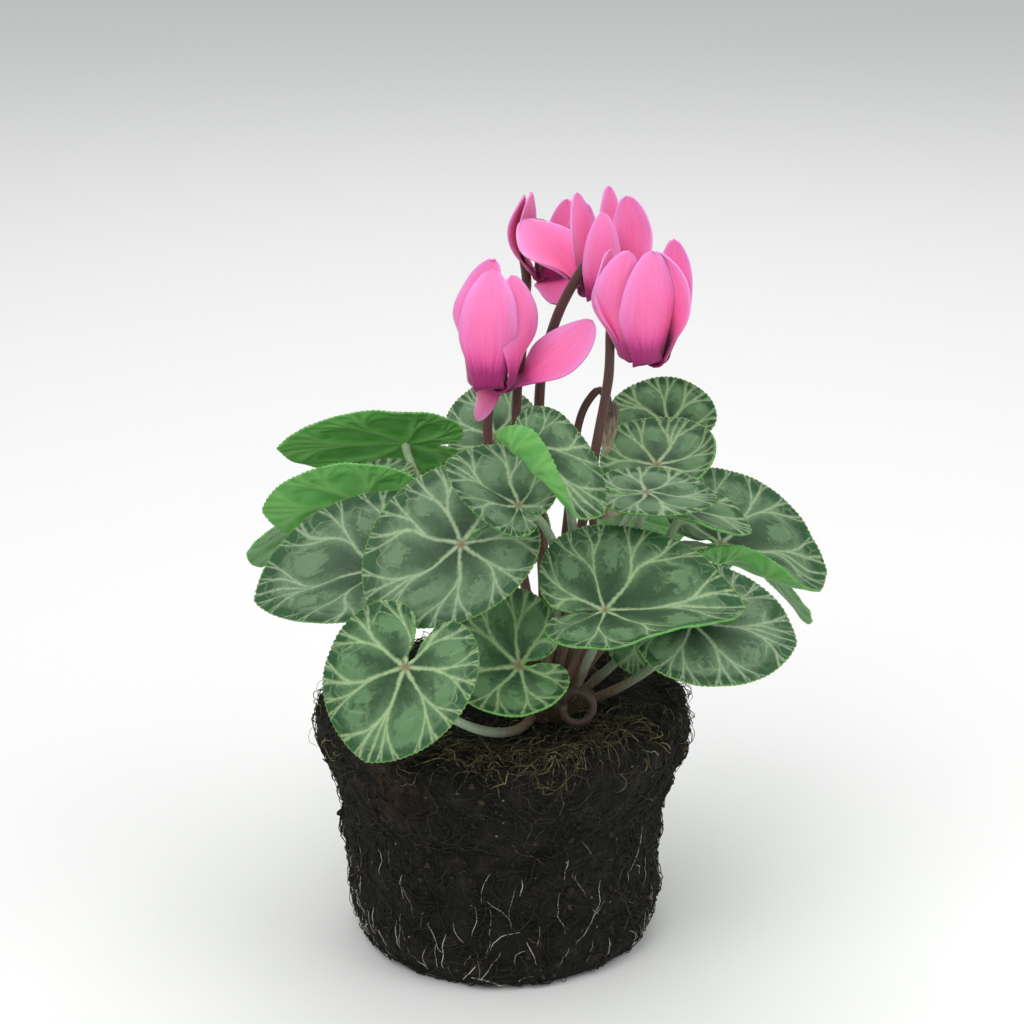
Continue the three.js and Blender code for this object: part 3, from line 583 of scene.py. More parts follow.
@dataclass(frozen=True)
class MarbledBlade:
    """Upper side of a cyclamen leaf: a waxy cuticle over dark tissue, with pale veins and silver marbling.

    Colours are of the tissue, the veins and the silver of a young leaf and of a mature one, of the dark band
    next to the margin of each, of the margin's rim and of the heart over the stalk. Lengths are in millimetres,
    and scales are per millimetre: grain 0.4 mm, feathering 1.3 mm, a net of 6 mm cells and clouds of 8 mm.
    """

    veins: Veins = field(default_factory=Veins)
    fresh: tuple[str, str, str] = ("#1a401d", "#a2be82", "#5f8d57")
    mature: tuple[str, str, str] = ("#243f26", "#a4b797", "#74906f")
    band: tuple[str, str] = ("#24552a", "#2c5531")
    rim: str = "#86a656"
    heart: str = "#6e4a30"
    half_vein: Pair = (0.5, 0.1)  # half a vein's width at the heart and at the margin
    silver_at: float = 0.66  # share of the way out at which the silver spots lie
    silver_reach: Pair = (5.4, 2.6)  # where a spot has ended, and where it is whole
    relief: float = 0.35

    def vein_cover(self, g: Graph, pattern: Socket, nearest: Node, rough: Node, drift: Node) -> Node:
        """Cover of the veins, with soft, slightly ragged sides, and of a fine net between the outer ones.

        Args:
            g: The material.
            pattern: Place on the flat blade.
            nearest: Distance to the nearest vein.
            rough: Fine raggedness from -1 to 1.
            drift: Slow change from -1 to 1.

        Returns:
            Cover from 0 to 1.
        """
        share = g.fact("place")[0]
        half = g.add("MapRange", share, 0.05, 1.0, *self.half_vein)
        ragged = g.add("Math:MULTIPLY_ADD", rough, -0.3, nearest)
        edge = g.add("Math:SUBTRACT", ragged, half)
        vein = g.add("MapRange", edge, 0.55, -0.3, 0.0, 0.85)
        cells = {"Vector": pattern, "Scale": 0.16, "Randomness": 0.9}
        net = g.add("Math:MULTIPLY", g.add("TexVoronoi", cells, feature="DISTANCE_TO_EDGE"), 6.2)
        net = g.add("Math:MULTIPLY_ADD", rough, -0.15, net)
        fine = g.add("MapRange", net, 0.42, 0.05, 0.0, 0.25)
        fine = g.add("Math:MULTIPLY", fine, g.add("MapRange", share, 0.5, 0.7, 0.0, 1.0))
        fine = g.add("Math:MULTIPLY", fine, g.add("MapRange", drift, -0.3, 0.5, 0.1, 1.0))
        return g.add("Math:MAXIMUM", vein, fine)

    def silver_cover(self, g: Graph, angle: Node, radius: Node, nearest: Node, rough: Node, drift: Node) -> Node:
        """Cover of the silver spots between the main veins and of the haze along the veins.

        Args:
            g: The material.
            angle: Angle from the nearest main vein.
            radius: Millimetres from the stalk to the margin.
            nearest: Distance to the nearest vein.
            rough: Fine raggedness from -1 to 1.
            drift: Slow change from -1 to 1.

        Returns:
            Cover from 0 to 1, which still reaches the heart and the margin.
        """
        share, reach, tone = g.fact("place")
        off_middle = g.add("Math:SUBTRACT", self.veins.cell / 2, angle)
        aside = g.add("Math:MULTIPLY", off_middle, reach)
        beyond = g.add("Math:SUBTRACT", share, self.silver_at)
        outwards = g.add("Math:MULTIPLY", g.add("Math:MULTIPLY", beyond, radius), 0.75)
        spot = g.add("CombineXYZ", aside, outwards, 0.0)
        spot = g.add("VectorMath:LENGTH", spot).outputs["Value"]
        spot = g.add("Math:MULTIPLY_ADD", drift, 3.0, spot)
        spot = g.add("Math:MULTIPLY_ADD", rough, 2.3, spot)
        spot = g.add("MapRange", spot, *self.silver_reach, 0.0, 0.7)
        off_vein = g.add("Math:MULTIPLY_ADD", rough, -0.8, nearest)
        haze = g.add("MapRange", off_vein, 3.6, 0.4, 0.0, 0.6)
        haze = g.add("Math:ADD", haze, g.add("MapRange", tone, 0.0, 1.0, 0.0, 0.3))
        return g.add("Math:MAXIMUM", haze, spot)

    def material(self) -> Finish:
        """Makes the material, which reads a blade's facts `pattern` and `place`."""
        # To the eye: dark waxy green with a soft, broad shine, netted with pale sunken veins, and between them
        # silver clouds, where air under the cuticle hides the green.
        g = Graph("marbled_leaf_cuticle")
        pattern = g.vector("pattern")
        x, y, _ = g.add("SeparateXYZ", pattern).outputs
        share, reach, tone = g.fact("place")
        feather = g.add("TexNoise", {"Vector": pattern, "Scale": 0.75, "Detail": 3.0, "Roughness": 0.6})
        cloud = g.add("TexNoise", {"Vector": pattern, "Scale": 0.12, "Detail": 2.0, "Roughness": 0.5})
        grain = g.add("TexNoise", {"Vector": pattern, "Scale": 2.4, "Detail": 2.0, "Roughness": 0.6})
        rough = g.add("MapRange", feather, 0.25, 0.75, -1.0, 1.0, clamp=False)
        drift = g.add("MapRange", cloud, 0.3, 0.7, -1.0, 1.0)
        theta = g.add("Math:ARCTAN2", y, x)
        tree, angle = self.veins.tree(g, theta, share, reach)
        radius = g.add("Math:DIVIDE", reach, share)
        lost = g.add("MapRange", drift, -0.3, 0.4, 1.3, 0.3)
        arches = self.veins.arches(g, angle, share, radius, lost)
        nearest = g.add("Math:MINIMUM", tree, arches)
        vein = self.vein_cover(g, pattern, nearest, rough, drift)
        silver = self.silver_cover(g, angle, radius, nearest, rough, drift)
        # the silver ends in a ragged ring before the margin and another round the heart
        ring = g.add("Math:MULTIPLY_ADD", drift, 0.06, share)
        ring = g.add("Math:MULTIPLY_ADD", rough, 0.03, ring)
        zone = g.add("MapRange", ring, 0.16, 0.5, 0.0, 1.0)
        zone = g.add("Math:MULTIPLY", zone, g.add("MapRange", ring, 0.9, 0.8, 0.0, 1.0))
        veil = g.add("Math:MULTIPLY", silver, zone)
        tissue = g.add("MixRGB", tone, self.fresh[0], self.mature[0])
        shade = g.add("MapRange", grain, 0.3, 0.7, 0.85, 1.15)
        tissue = g.add("MixRGB", 1.0, tissue, shade, blend_type="MULTIPLY")
        margin = g.add("MapRange", ring, 0.84, 0.94, 0.0, 0.9)
        colour = g.add("MixRGB", margin, tissue, g.add("MixRGB", tone, *self.band))
        colour = g.add("MixRGB", veil, colour, g.add("MixRGB", tone, self.fresh[2], self.mature[2]))
        colour = g.add("MixRGB", vein, colour, g.add("MixRGB", tone, self.fresh[1], self.mature[1]))
        outmost = g.add("Math:MULTIPLY_ADD", rough, 0.004, share)
        colour = g.add("MixRGB", g.add("MapRange", outmost, 0.984, 0.998, 0.0, 0.7), colour, self.rim)
        inmost = g.add("Math:MULTIPLY_ADD", rough, 0.3, reach)
        colour = g.add("MixRGB", g.add("MapRange", inmost, 2.0, 0.6, 0.0, 0.75), colour, self.heart)
        gloss = g.add("MapRange", grain, 0.3, 0.7, 0.4, 0.54)
        pores = g.add("Math:MULTIPLY", grain, 0.3)
        sunk = g.add("Math:MULTIPLY_ADD", vein, -0.75, pores)
        shader = {"Base Color": colour, "Roughness": gloss, "IOR": 1.43, "Specular IOR Level": 0.35}
        return g.finish(shader, sunk, self.relief)


@dataclass(frozen=True)
class BladeUnderside:
    """Underside of the same leaf: paler, smooth tissue in which the veins hardly show."""

    veins: Veins = field(default_factory=Veins)
    tissue: tuple[str, str] = ("#4b9238", "#5fa451")
    vein: str = "#86bb66"
    relief: float = 0.35

    def material(self) -> Finish:
        """Makes the material, which reads a blade's facts `pattern` and `place`."""
        # To the eye: a clear, fresh green, lighter than the face, with slow clouds and faint raised veins.
        g = Graph("leaf_underside")
        pattern = g.vector("pattern")
        x, y, _ = g.add("SeparateXYZ", pattern).outputs
        share, reach, _ = g.fact("place")
        tree, _ = self.veins.tree(g, g.add("Math:ARCTAN2", y, x), share, reach)
        vein = g.add("MapRange", tree, 1.6, 0.2, 0.0, 0.35)
        cloud = g.add("TexNoise", {"Vector": pattern, "Scale": 0.16, "Detail": 3.0, "Roughness": 0.55})
        colour = g.add("MixRGB", g.add("MapRange", cloud, 0.3, 0.7, 0.0, 1.0), *self.tissue)
        colour = g.add("MixRGB", vein, colour, self.vein)
        return g.finish({"Base Color": colour, "Roughness": 0.48, "IOR": 1.43}, vein, self.relief)


@dataclass(frozen=True)
class StalkSkin:
    """Skin of a fleshy stalk, whose colour runs from foot to head, with fine lengthwise streaks."""

    name: str
    colours: Ramp
    roughness: float = 0.45
    relief: float = 0.12

    def material(self) -> Finish:
        """Makes the material, which reads the fact `stalk`."""
        # To the eye: moist, smooth and downy at once, streaked every 0.7 mm or so, its colour drifting upwards.
        g = Graph(self.name)
        place = g.add("TexCoord").outputs["Object"]
        stretched = g.add("Mapping", place, (0.0, 0.0, 0.0), (0.0, 0.0, 0.0), (1500.0, 1500.0, 180.0))
        streak = g.add("TexNoise", {"Vector": stretched, "Scale": 1.0, "Detail": 2.0, "Roughness": 0.6})
        along, _, _ = g.fact("stalk")
        sway = g.add("MapRange", streak, 0.3, 0.7, -0.06, 0.06)
        colour = g.add("ValToRGB", g.add("Math:ADD", along, sway), stops=self.colours)
        shade = g.add("MapRange", streak, 0.3, 0.7, 0.82, 1.16)
        colour = g.add("MixRGB", 1.0, colour, shade, blend_type="MULTIPLY")
        shader = {"Base Color": colour, "Roughness": self.roughness, "IOR": 1.42, "Sheen Weight": 0.12}
        return g.finish(shader, streak, self.relief)


@dataclass(frozen=True)
class PetalTissue:
    """Petal: thin, slightly see-through tissue with a velvety face, fine lengthwise veins and a dark eye."""

    colours: Ramp
    edge: str = "#ea9fdf"
    warm: str = "#ff6f9c"
    eye: Pair = (0.38, 0.26)  # shares along it where the eye has ended and where it is whole
    relief: float = 0.12

    def material(self) -> Finish:
        """Makes the material, which reads the fact `petal`: share along, -1 to 1 across, and a seed."""
        # To the eye: light soaks in and glows pink, the skin's tiny cells give a velvet bloom at a flat angle,
        # and the base is deep magenta.
        g = Graph("petal_tissue")
        fact = g.vector("petal")
        along, across, _ = g.add("SeparateXYZ", fact).outputs
        lines = g.add("Mapping", fact, (0.0, 0.0, 0.0), (0.0, 0.0, 0.0), (3.0, 17.0, 5.0))
        threads = {"Vector": lines, "Scale": 1.0, "Detail": 3.0, "Roughness": 0.6, "Distortion": 0.3}
        vein = g.add("TexNoise", threads)
        blush = g.add("TexNoise", {"Vector": fact, "Scale": 2.2, "Detail": 1.0})
        side = g.add("Math:ABSOLUTE", across)
        sway = g.add("MapRange", vein, 0.3, 0.7, -0.03, 0.03)
        base = g.add("ValToRGB", g.add("Math:ADD", along, sway), stops=self.colours)
        middle = g.add("MapRange", side, 0.75, 0.0, 0.0, 0.45)
        middle = g.add("Math:MULTIPLY", middle, g.add("MapRange", blush, 0.35, 0.65, 0.3, 1.0))
        colour = g.add("MixRGB", middle, base, self.warm)
        outer = g.add("MapRange", side, 0.55, 1.0, 0.0, 0.6)
        outer = g.add("Math:MULTIPLY", outer, g.add("MapRange", along, 0.25, 0.7, 0.0, 1.0))
        colour = g.add("MixRGB", outer, colour, self.edge)
        colour = g.add("MixRGB", g.add("MapRange", along, *self.eye, 0.0, 1.0), colour, base)
        shade = g.add("MapRange", vein, 0.3, 0.7, 0.95, 1.04)
        colour = g.add("MixRGB", 1.0, colour, shade, blend_type="MULTIPLY")
        shader = {
            "Base Color": colour,
            "Roughness": 0.5,
            "IOR": 1.4,
            "Subsurface Weight": 0.4,
            "Subsurface Radius": (1.0, 0.45, 0.6),
            "Subsurface Scale": 1.2 * MM,
            "Sheen Weight": 0.25,
            "Sheen Roughness": 0.4,
        }
        return g.finish(shader, vein, self.relief)


@dataclass(frozen=True)
class Cork:
    """The tuber's skin: dry cork with peat in its cracks, about 3 mm apart. Scales are per metre."""

    colours: Ramp = field(
        default_factory=lambda: {0.0: "#1d1511", 0.35: "#3d2b1f", 0.6: "#5f4632", 1.0: "#7c6148"}
    )
    crack: str = "#15100d"
    relief: float = 0.8

    def material(self) -> Finish:
        """Makes the material."""
        # To the eye: matt brown lumps that catch light on their crests and sink into nearly black cracks.
        g = Graph("tuber_cork")
        place = g.add("TexCoord").outputs["Object"]
        lumps = g.add("TexNoise", {"Vector": place, "Scale": 260.0, "Detail": 5.0, "Roughness": 0.65})
        cracks = g.add("TexVoronoi", {"Vector": place, "Scale": 330.0}, feature="DISTANCE_TO_EDGE")
        colour = g.add("ValToRGB", lumps, stops=self.colours)
        dark = g.add("MapRange", cracks, 0.12, 0.0, 0.0, 0.7)
        colour = g.add("MixRGB", dark, colour, self.crack)
        return g.finish({"Base Color": colour, "Roughness": 0.85, "IOR": 1.45}, lumps, self.relief)


@dataclass(frozen=True)
class RootedPeat:
    """Moist black peat held together by roots: crumbs, fibres, pale grit and a rusty patch.

    Clods are about 6 mm, crumbs 1.6 mm and grit cells 2 mm apart. Scales are per metre.
    """

    colours: Ramp = field(
        default_factory=lambda: {
            0.0: "#030302", 0.4: "#080705", 0.53: "#12100b", 0.66: "#2a261a", 1.0: "#544c35"
        }
    )  # fmt: skip
    fibre: str = "#363323"
    grit: str = "#7d7a66"
    rust: str = "#3d2a1a"
    rust_at: Place = (-34.0, -46.0, 70.0)
    rust_reach: float = 19.0
    relief: float = 1.4

    def material(self) -> Finish:
        """Makes the material."""
        # To the eye: nearly black and quite without shine, yet broken up by brown crumbs, lighter fibres and
        # single pale grains.
        g = Graph("rooted_peat")
        place = g.add("TexCoord").outputs["Object"]
        clods = g.add("TexNoise", {"Vector": place, "Scale": 170.0, "Detail": 6.0, "Roughness": 0.7})
        crumbs = g.add("TexVoronoi", {"Vector": place, "Scale": 620.0}, feature="F1")
        stretched = g.add("Mapping", place, (0.0, 0.0, 0.0), (0.2, 0.3, 0.0), (900.0, 900.0, 260.0))
        threads = {"Vector": stretched, "Scale": 1.0, "Detail": 4.0, "Roughness": 0.7, "Distortion": 1.2}
        fibres = g.add("TexNoise", threads)
        colour = g.add("ValToRGB", clods, stops=self.colours)
        colour = g.add("MixRGB", g.add("MapRange", fibres, 0.58, 0.74, 0.0, 0.6), colour, self.fibre)
        grains = g.add("TexVoronoi", {"Vector": place, "Scale": 520.0}, feature="F1")
        chosen = g.add("SeparateXYZ", grains.outputs["Color"]).outputs["X"]
        speck = g.add("MapRange", grains.outputs["Distance"], 0.22, 0.14, 0.0, 1.0)
        speck = g.add("Math:MULTIPLY", speck, g.add("MapRange", chosen, 0.955, 0.96, 0.0, 1.0))
        colour = g.add("MixRGB", speck, colour, self.grit)
        away = g.add("VectorMath:DISTANCE", place, tuple(c * MM for c in self.rust_at))
        reach = self.rust_reach * MM
        patch = g.add("MapRange", away.outputs["Value"], reach, 0.3 * reach, 0.0, 1.0)
        patch = g.add("Math:MULTIPLY", patch, g.add("MapRange", clods, 0.42, 0.62, 0.0, 0.8))
        colour = g.add("MixRGB", patch, colour, self.rust)
        height = g.add("Math:MULTIPLY_ADD", crumbs, -0.35, clods)
        height = g.add("Math:MULTIPLY_ADD", fibres, 0.5, height)
        return g.finish({"Base Color": colour, "Roughness": 0.95, "IOR": 1.4}, height, self.relief)


@dataclass(frozen=True)
class Strand:
    """Root, moss or crumb: a dull dry skin, each strand a shade of its own."""

    name: str
    colours: Ramp
    roughness: float = 0.8
    relief: float = 0.15

    def material(self) -> Finish:
        """Makes the material, which reads the fact `strand`: its shade first."""
        # To the eye: fibres that part from one another by shade, each faintly spotted, without shine.
        g = Graph(self.name)
        shade, _, _ = g.fact("strand")
        place = g.add("TexCoord").outputs["Object"]
        spots = g.add("TexNoise", {"Vector": place, "Scale": 900.0, "Detail": 2.0})
        tint = g.add("Math:ADD", shade, g.add("MapRange", spots, 0.3, 0.7, -0.2, 0.2))
        colour = g.add("ValToRGB", tint, stops=self.colours)
        return g.finish({"Base Color": colour, "Roughness": self.roughness, "IOR": 1.45}, spots, self.relief)


@dataclass(frozen=True)
class PaleFloor:
    """Matt painted board that the plant stands on."""

    colour: str = "#ececea"
    relief: float = 0.02

    def material(self) -> Finish:
        """Makes the material."""
        # To the eye: an even, nearly white ground that takes soft shadows and gives no mirror image.
        g = Graph("painted_board")
        speck = g.add("TexNoise", {"Vector": g.add("TexCoord").outputs["Object"], "Scale": 400.0})
        return g.finish({"Base Color": self.colour, "Roughness": 0.85}, speck, self.relief)


# ---------------------------------------------------------------- tuber


@dataclass(frozen=True)
class Tuber:
    """The flattened corm, half sunk in the peat, that every stalk grows from. Lengths are in millimetres."""

    middle: Place = (12.0, -4.0, 74.0)
    radius: float = 19.0
    half_height: float = 12.0
    splay: float = 0.75  # how far a stalk at its edge leans out, as a tangent
    relief: float = 0.7
    lumps: Outline = ((0.7, 4.5), (0.3, 1.7))  # share of the relief and pitch
    shrunk: float = 0.3  # share of the relief that the whole skin lies lower
    sides: int = 96
    rows: int = 48
    seed: int = 5

    def crown_point(self, ring: float, degrees: float) -> Array:
        """Point of the upper surface, at a distance from the middle and an angle round it."""
        height = self.half_height * math.sqrt(1 - (ring / self.radius) ** 2)
        return np.array(self.middle) + level_direction(degrees) * ring + UP * height

    def crown_direction(self, ring: float, degrees: float) -> Array:
        """Direction in which a stalk leaves the crown."""
        return unit(level_direction(degrees) * self.splay * ring / self.radius + UP)

    def build(self) -> None:
        """Builds the tuber and dresses it."""
        noise = Noise(self.seed)

        def place(across: Array, along: Array) -> Formed:
            """Points for shares round the tuber and up from its underside."""
            turn, climb = 2 * math.pi * across, math.pi * (along - 0.5)
            level = beside(np.cos(turn), np.sin(turn)) * np.cos(climb)[:, None]
            out = np.concatenate([level, np.sin(climb)[:, None]], axis=-1)
            ball = np.array(self.middle) + out * (self.radius, self.radius, self.half_height)
            height = sum(share * noise.at(ball, pitch) for share, pitch in self.lumps) - self.shrunk
            return ball + out * height[:, None] * self.relief, {}

        piece = shaped_grid("corky_tuber", self.sides, self.rows, place)
        close_seams(piece)
        hand_over(piece, ["tuber"], [Cork().material()])


TUBER = Tuber()


# ---------------------------------------------------------------- leaves


@dataclass(frozen=True)
class Leaf:
    """One leaf: a toothed heart-shaped blade and the stalk under it. Millimetres and degrees.

    at is where the stalk meets the blade; size, from there to the tip; wide, the width shares of the left and
    right halves; lean and toward, how far the face tips from level and to which side; turn, the tip's turn from
    straight downhill; left, right, tip and back, each part's curl over one leaf size, up if positive; heel, the
    length share behind the stalk; notch, the degrees between each side of the notch and its middle; foot, where
    the stalk leaves the tuber; slope, approach and bow, its course; tone, from fresh to mature green.
    """

    at: Place
    size: float
    wide: Pair
    lean: float
    toward: float
    turn: float
    left: Pair
    right: Pair
    tip: float
    back: float
    foot: Pair
    heel: float = 1.0
    notch: float = 1.5
    slope: float = 90.0  # steeper than any: as usual at that place of the crown
    approach: float = 0.3
    bow: Place = (0.0, 0.0, 0.0)
    tone: float = 0.5

    def axes(self) -> tuple[Array, Array, Array]:
        """The blade's directions at its stalk.

        Returns:
            The ways along the midrib, across it and out of the face.
        """
        out, lean, turn = level_direction(self.toward), math.radians(self.lean), math.radians(self.turn)
        face = out * math.sin(lean) + UP * math.cos(lean)
        downhill = out * math.cos(lean) - UP * math.sin(lean)
        tip = downhill * math.cos(turn) + np.cross(face, downhill) * math.sin(turn)
        return tip, np.cross(face, tip), face


@dataclass(frozen=True)
class Relief:
    """Unevenness of a leaf blade. Heights and pitches are in millimetres, zones in shares of the way out."""

    wander: Pair = (2.4, 12.0)  # how far the veins stray, and the pitch of it
    wander_zone: Pair = (0.05, 0.5)
    puff: float = 0.6  # of the tissue between the veins
    puff_reach: float = 3.4  # from a vein to where it is whole
    puff_level: float = 0.6  # share of it that lies under the smooth blade
    puff_zone: tuple[float, float, float, float] = (0.04, 0.3, 0.8, 1.0)  # where it starts and ends
    margin_wave: Pair = (0.75, 7.0)
    slow_wave: Pair = (0.9, 17.0)
    ripple: float = 0.12  # of the teeth, up and down by turns
    shifts: tuple[float, float, float] = (40.0, 80.0, 120.0)  # set the uses of one noise apart

    def warp(self, noise: Noise, spot: Array, share: Array) -> Array:
        """Lets the veins' pattern wander.

        Args:
            noise: The leaf's own unevenness.
            spot: Places on the flat blade.
            share: Shares of the way out.

        Returns:
            The places' x and y in the pattern.
        """
        far, pitch = self.wander
        warp = np.stack([noise.at(spot + shift, pitch) for shift in (0.0, self.shifts[0])], axis=-1)
        return spot[:, :2] + far * warp * smooth(share, *self.wander_zone)[:, None]

    def height(self, noise: Noise, spot: Array, share: Array, vein: Array, ripple: Array) -> Array:
        """Height over the smooth blade.

        Args:
            noise: The leaf's own unevenness.
            spot: Places on the flat blade.
            share: Shares of the way out.
            vein: Distances to the nearest vein.
            ripple: The teeth's swing, which is 0 away from the margin.

        Returns:
            Millimetres.
        """
        start, whole, falls, end = self.puff_zone
        puff = self.puff * (smooth(vein, 0.0, self.puff_reach) - self.puff_level)
        puff = puff * smooth(share, start, whole) * (1 - smooth(share, falls, end))
        (high, fine), (slow_high, slow) = self.margin_wave, self.slow_wave
        wave = high * noise.at(spot + self.shifts[1], fine) * share**3
        wave = wave + slow_high * noise.at(spot + self.shifts[2], slow) * share
        return puff + wave + self.ripple * ripple


@dataclass(frozen=True)
class Foliage:
    """All the leaves, whose blades share one outline. Lengths are in millimetres."""

    leaves: Sequence[Leaf]
    thickness: float = 0.75
    cells: int = 104  # faces along each side of a blade's grid
    tooth_pitch: float = 1.7
    tooth_depth: float = 0.2
    tooth_point: float = 1.6  # 1 would be a zigzag
    tooth_uneven: Pair = (0.35, 1.7)  # by how much, and over how many teeth
    tooth_fade: int = 10  # power of the share by which teeth fade inwards
    crowding: float = 1.35  # draws points together at the notch
    eye: tuple[float, float, float, float] = (13.0, 0.13, 0.07, 8.0)  # see flat_place
    margin: Outline = (
        (0, 1.0), (18, 0.93), (42, 0.85), (70, 0.79), (100, 0.765), (125, 0.765), (145, 0.74),
        (160, 0.675), (170, 0.585), (176, 0.47), (178.6, 0.3), (180, 0.06),
    )  # fmt: skip
    tip_slope: float = -0.0035
    heel_slope: float = 1.2
    relief: Relief = field(default_factory=Relief)
    stalk_radius: float = 1.45
    stalk_sunk: float = 5.0
    stalk_rise: float = 0.42  # share of the span over which it keeps its first direction
    stalk_stops: float = 0.1  # before the middle of the blade
    stalk_taper: Pair = (1.06, 0.2)  # of the radius, at the foot and lost by the head
    stalk_flare: Pair = (0.25, 0.965)  # of the radius, and the share at which it starts
    stalk_uneven: Pair = (0.05, 6.0)  # of the radius, and the pitch for a length of 60
    stalk_faces: tuple[int, int] = (14, 64)
    seeds: tuple[int, int] = (100, 200)  # of the blades and of the stalks
    veins: Veins = field(default_factory=Veins)

    def margin_share(self, degrees: Array) -> Array:
        """Distance from the stalk to the margin.

        Args:
            degrees: Angles from the tip, 180 in the notch.

        Returns:
            Shares of the leaf's size.
        """
        at, reach = np.array(self.margin, float).T
        gaps, steps = np.diff(at), np.diff(reach) / np.diff(at)
        inner = (steps[:-1] * gaps[1:] + steps[1:] * gaps[:-1]) / (gaps[1:] + gaps[:-1])
        slopes = np.concatenate([[self.tip_slope], inner, [steps[-1] * self.heel_slope]])
        i = np.clip(np.searchsorted(at, degrees, side="right") - 1, 0, len(gaps) - 1)
        t, gap = (degrees - at[i]) / gaps[i], gaps[i]
        return (
            (2 * t**3 - 3 * t**2 + 1) * reach[i]
            + (t**3 - 2 * t**2 + t) * gap * slopes[i]
            + (3 * t**2 - 2 * t**3) * reach[i + 1]
            + (t**3 - t**2) * gap * slopes[i + 1]
        )

    def flat_place(self, leaf: Leaf, way: Array, share: Array, extra: Array) -> Array:
        """Place on the flat, uncurled blade.

        The eye is where the notch widens round the stalk: its degrees, its distance and reach in leaf sizes,
        and how sharply it is kept to the notch.

        Args:
            leaf: The leaf.
            way: Way round from the tip, -1 to 1, with 0 at the tip.
            share: Share of the way out to the margin.
            extra: Tooth height in leaf sizes.

        Returns:
            Rows of x and y as it is, and x and y of a leaf of even widths.
        """
        degrees = 180 * (1 - (1 - np.abs(way)) ** self.crowding)
        away = share * self.margin_share(degrees) + extra
        width, at, reach, sharpness = self.eye
        eye = width * (degrees / 180) ** sharpness * np.exp(-(((away - at) / reach) ** 2))
        opening = np.where(degrees < 180, leaf.notch * degrees / 180 + eye, 0)
        angle = np.radians(np.sign(way) * (degrees - opening))
        x, y = away * leaf.size * np.cos(angle), away * leaf.size * np.sin(angle)
        wide = np.where(angle > 0, leaf.wide[0], leaf.wide[1])
        return beside(np.where(x < 0, x * leaf.heel, x), y * wide, x, y)

    @staticmethod
    def disc(across: Array, along: Array) -> tuple[Array, Array]:
        """Draws a square out to a disc.

        Args:
            across: Places across the square, 0 to 1.
            along: Places along it.

        Returns:
            Way round, -1 to 1 with 0 at the right, and share of the way out.
        """
        a, b = 2 * across - 1, 2 * along - 1
        share = np.maximum(np.abs(a), np.abs(b))
        flat = np.abs(a) >= np.abs(b)
        big, small = np.where(flat, a, b), np.where(flat, b, a)
        ratio = small / np.where(big == 0, 1, big)
        quarter = np.where(flat, np.where(a < 0, math.pi, 0.0), np.where(b < 0, -math.pi / 2, math.pi / 2))
        turn = quarter + math.pi / 4 * np.where(flat, ratio, -ratio)
        way = ((turn + math.pi) % (2 * math.pi) - math.pi) / math.pi
        return np.where(flat & (a < 0) & (b == 0), -1.0, way), share

    @staticmethod
    def rolled(length: Array, height: Array, curl: Array, size: float) -> Sequence[Array]:
        """Rolls a flat sheet onto arcs.

        Args:
            length: Lengths from the stalk.
            height: Heights over them.
            curl: Degrees over one leaf size.
            size: The leaf's size.

        Returns:
            Lengths and heights after it.
        """
        bend = np.radians(np.where(np.abs(curl) < ALMOST, ALMOST, curl)) / size
        angle = np.abs(length) * bend
        sign = np.sign(length)
        across = sign * np.sin(angle) / bend - sign * height * np.sin(angle)
        return across, (1 - np.cos(angle)) / bend + height * np.cos(angle)

    def point(self, leaf: Leaf, x: Array, y: Array) -> Array:
        """Points of a curled blade's middle surface.

        Args:
            leaf: The leaf.
            x: Places along the midrib of the flat blade.
            y: Places across it.

        Returns:
            One point for each place.
        """
        to_tip = np.clip(x / leaf.size, 0, 1)
        left = leaf.left[0] + (leaf.left[1] - leaf.left[0]) * to_tip
        right = leaf.right[0] + (leaf.right[1] - leaf.right[0]) * to_tip
        across, height = self.rolled(y, np.zeros_like(y), np.where(y > 0, left, right), leaf.size)
        along, rise = self.rolled(x, height, np.where(x > 0, leaf.tip, leaf.back), leaf.size)
        tip, side, face = leaf.axes()
        return np.array(leaf.at) + along[:, None] * tip + across[:, None] * side + rise[:, None] * face

    def blade(self, number: int, leaf: Leaf, finishes: Sequence[Finish]) -> None:
        """Builds one blade and dresses it.

        Args:
            number: The leaf's number.
            leaf: The leaf.
            finishes: Materials of its upper and its under side.
        """
        noise = Noise(self.seeds[0] + number)
        ways = np.linspace(-1, 1, 1441)
        edge = self.flat_place(leaf, ways, np.ones_like(ways), np.zeros_like(ways))[:, :2]
        travel = np.concatenate([[0.0], np.cumsum(np.linalg.norm(np.diff(edge, axis=0), axis=1))])
        teeth = round(travel[-1] / self.tooth_pitch)

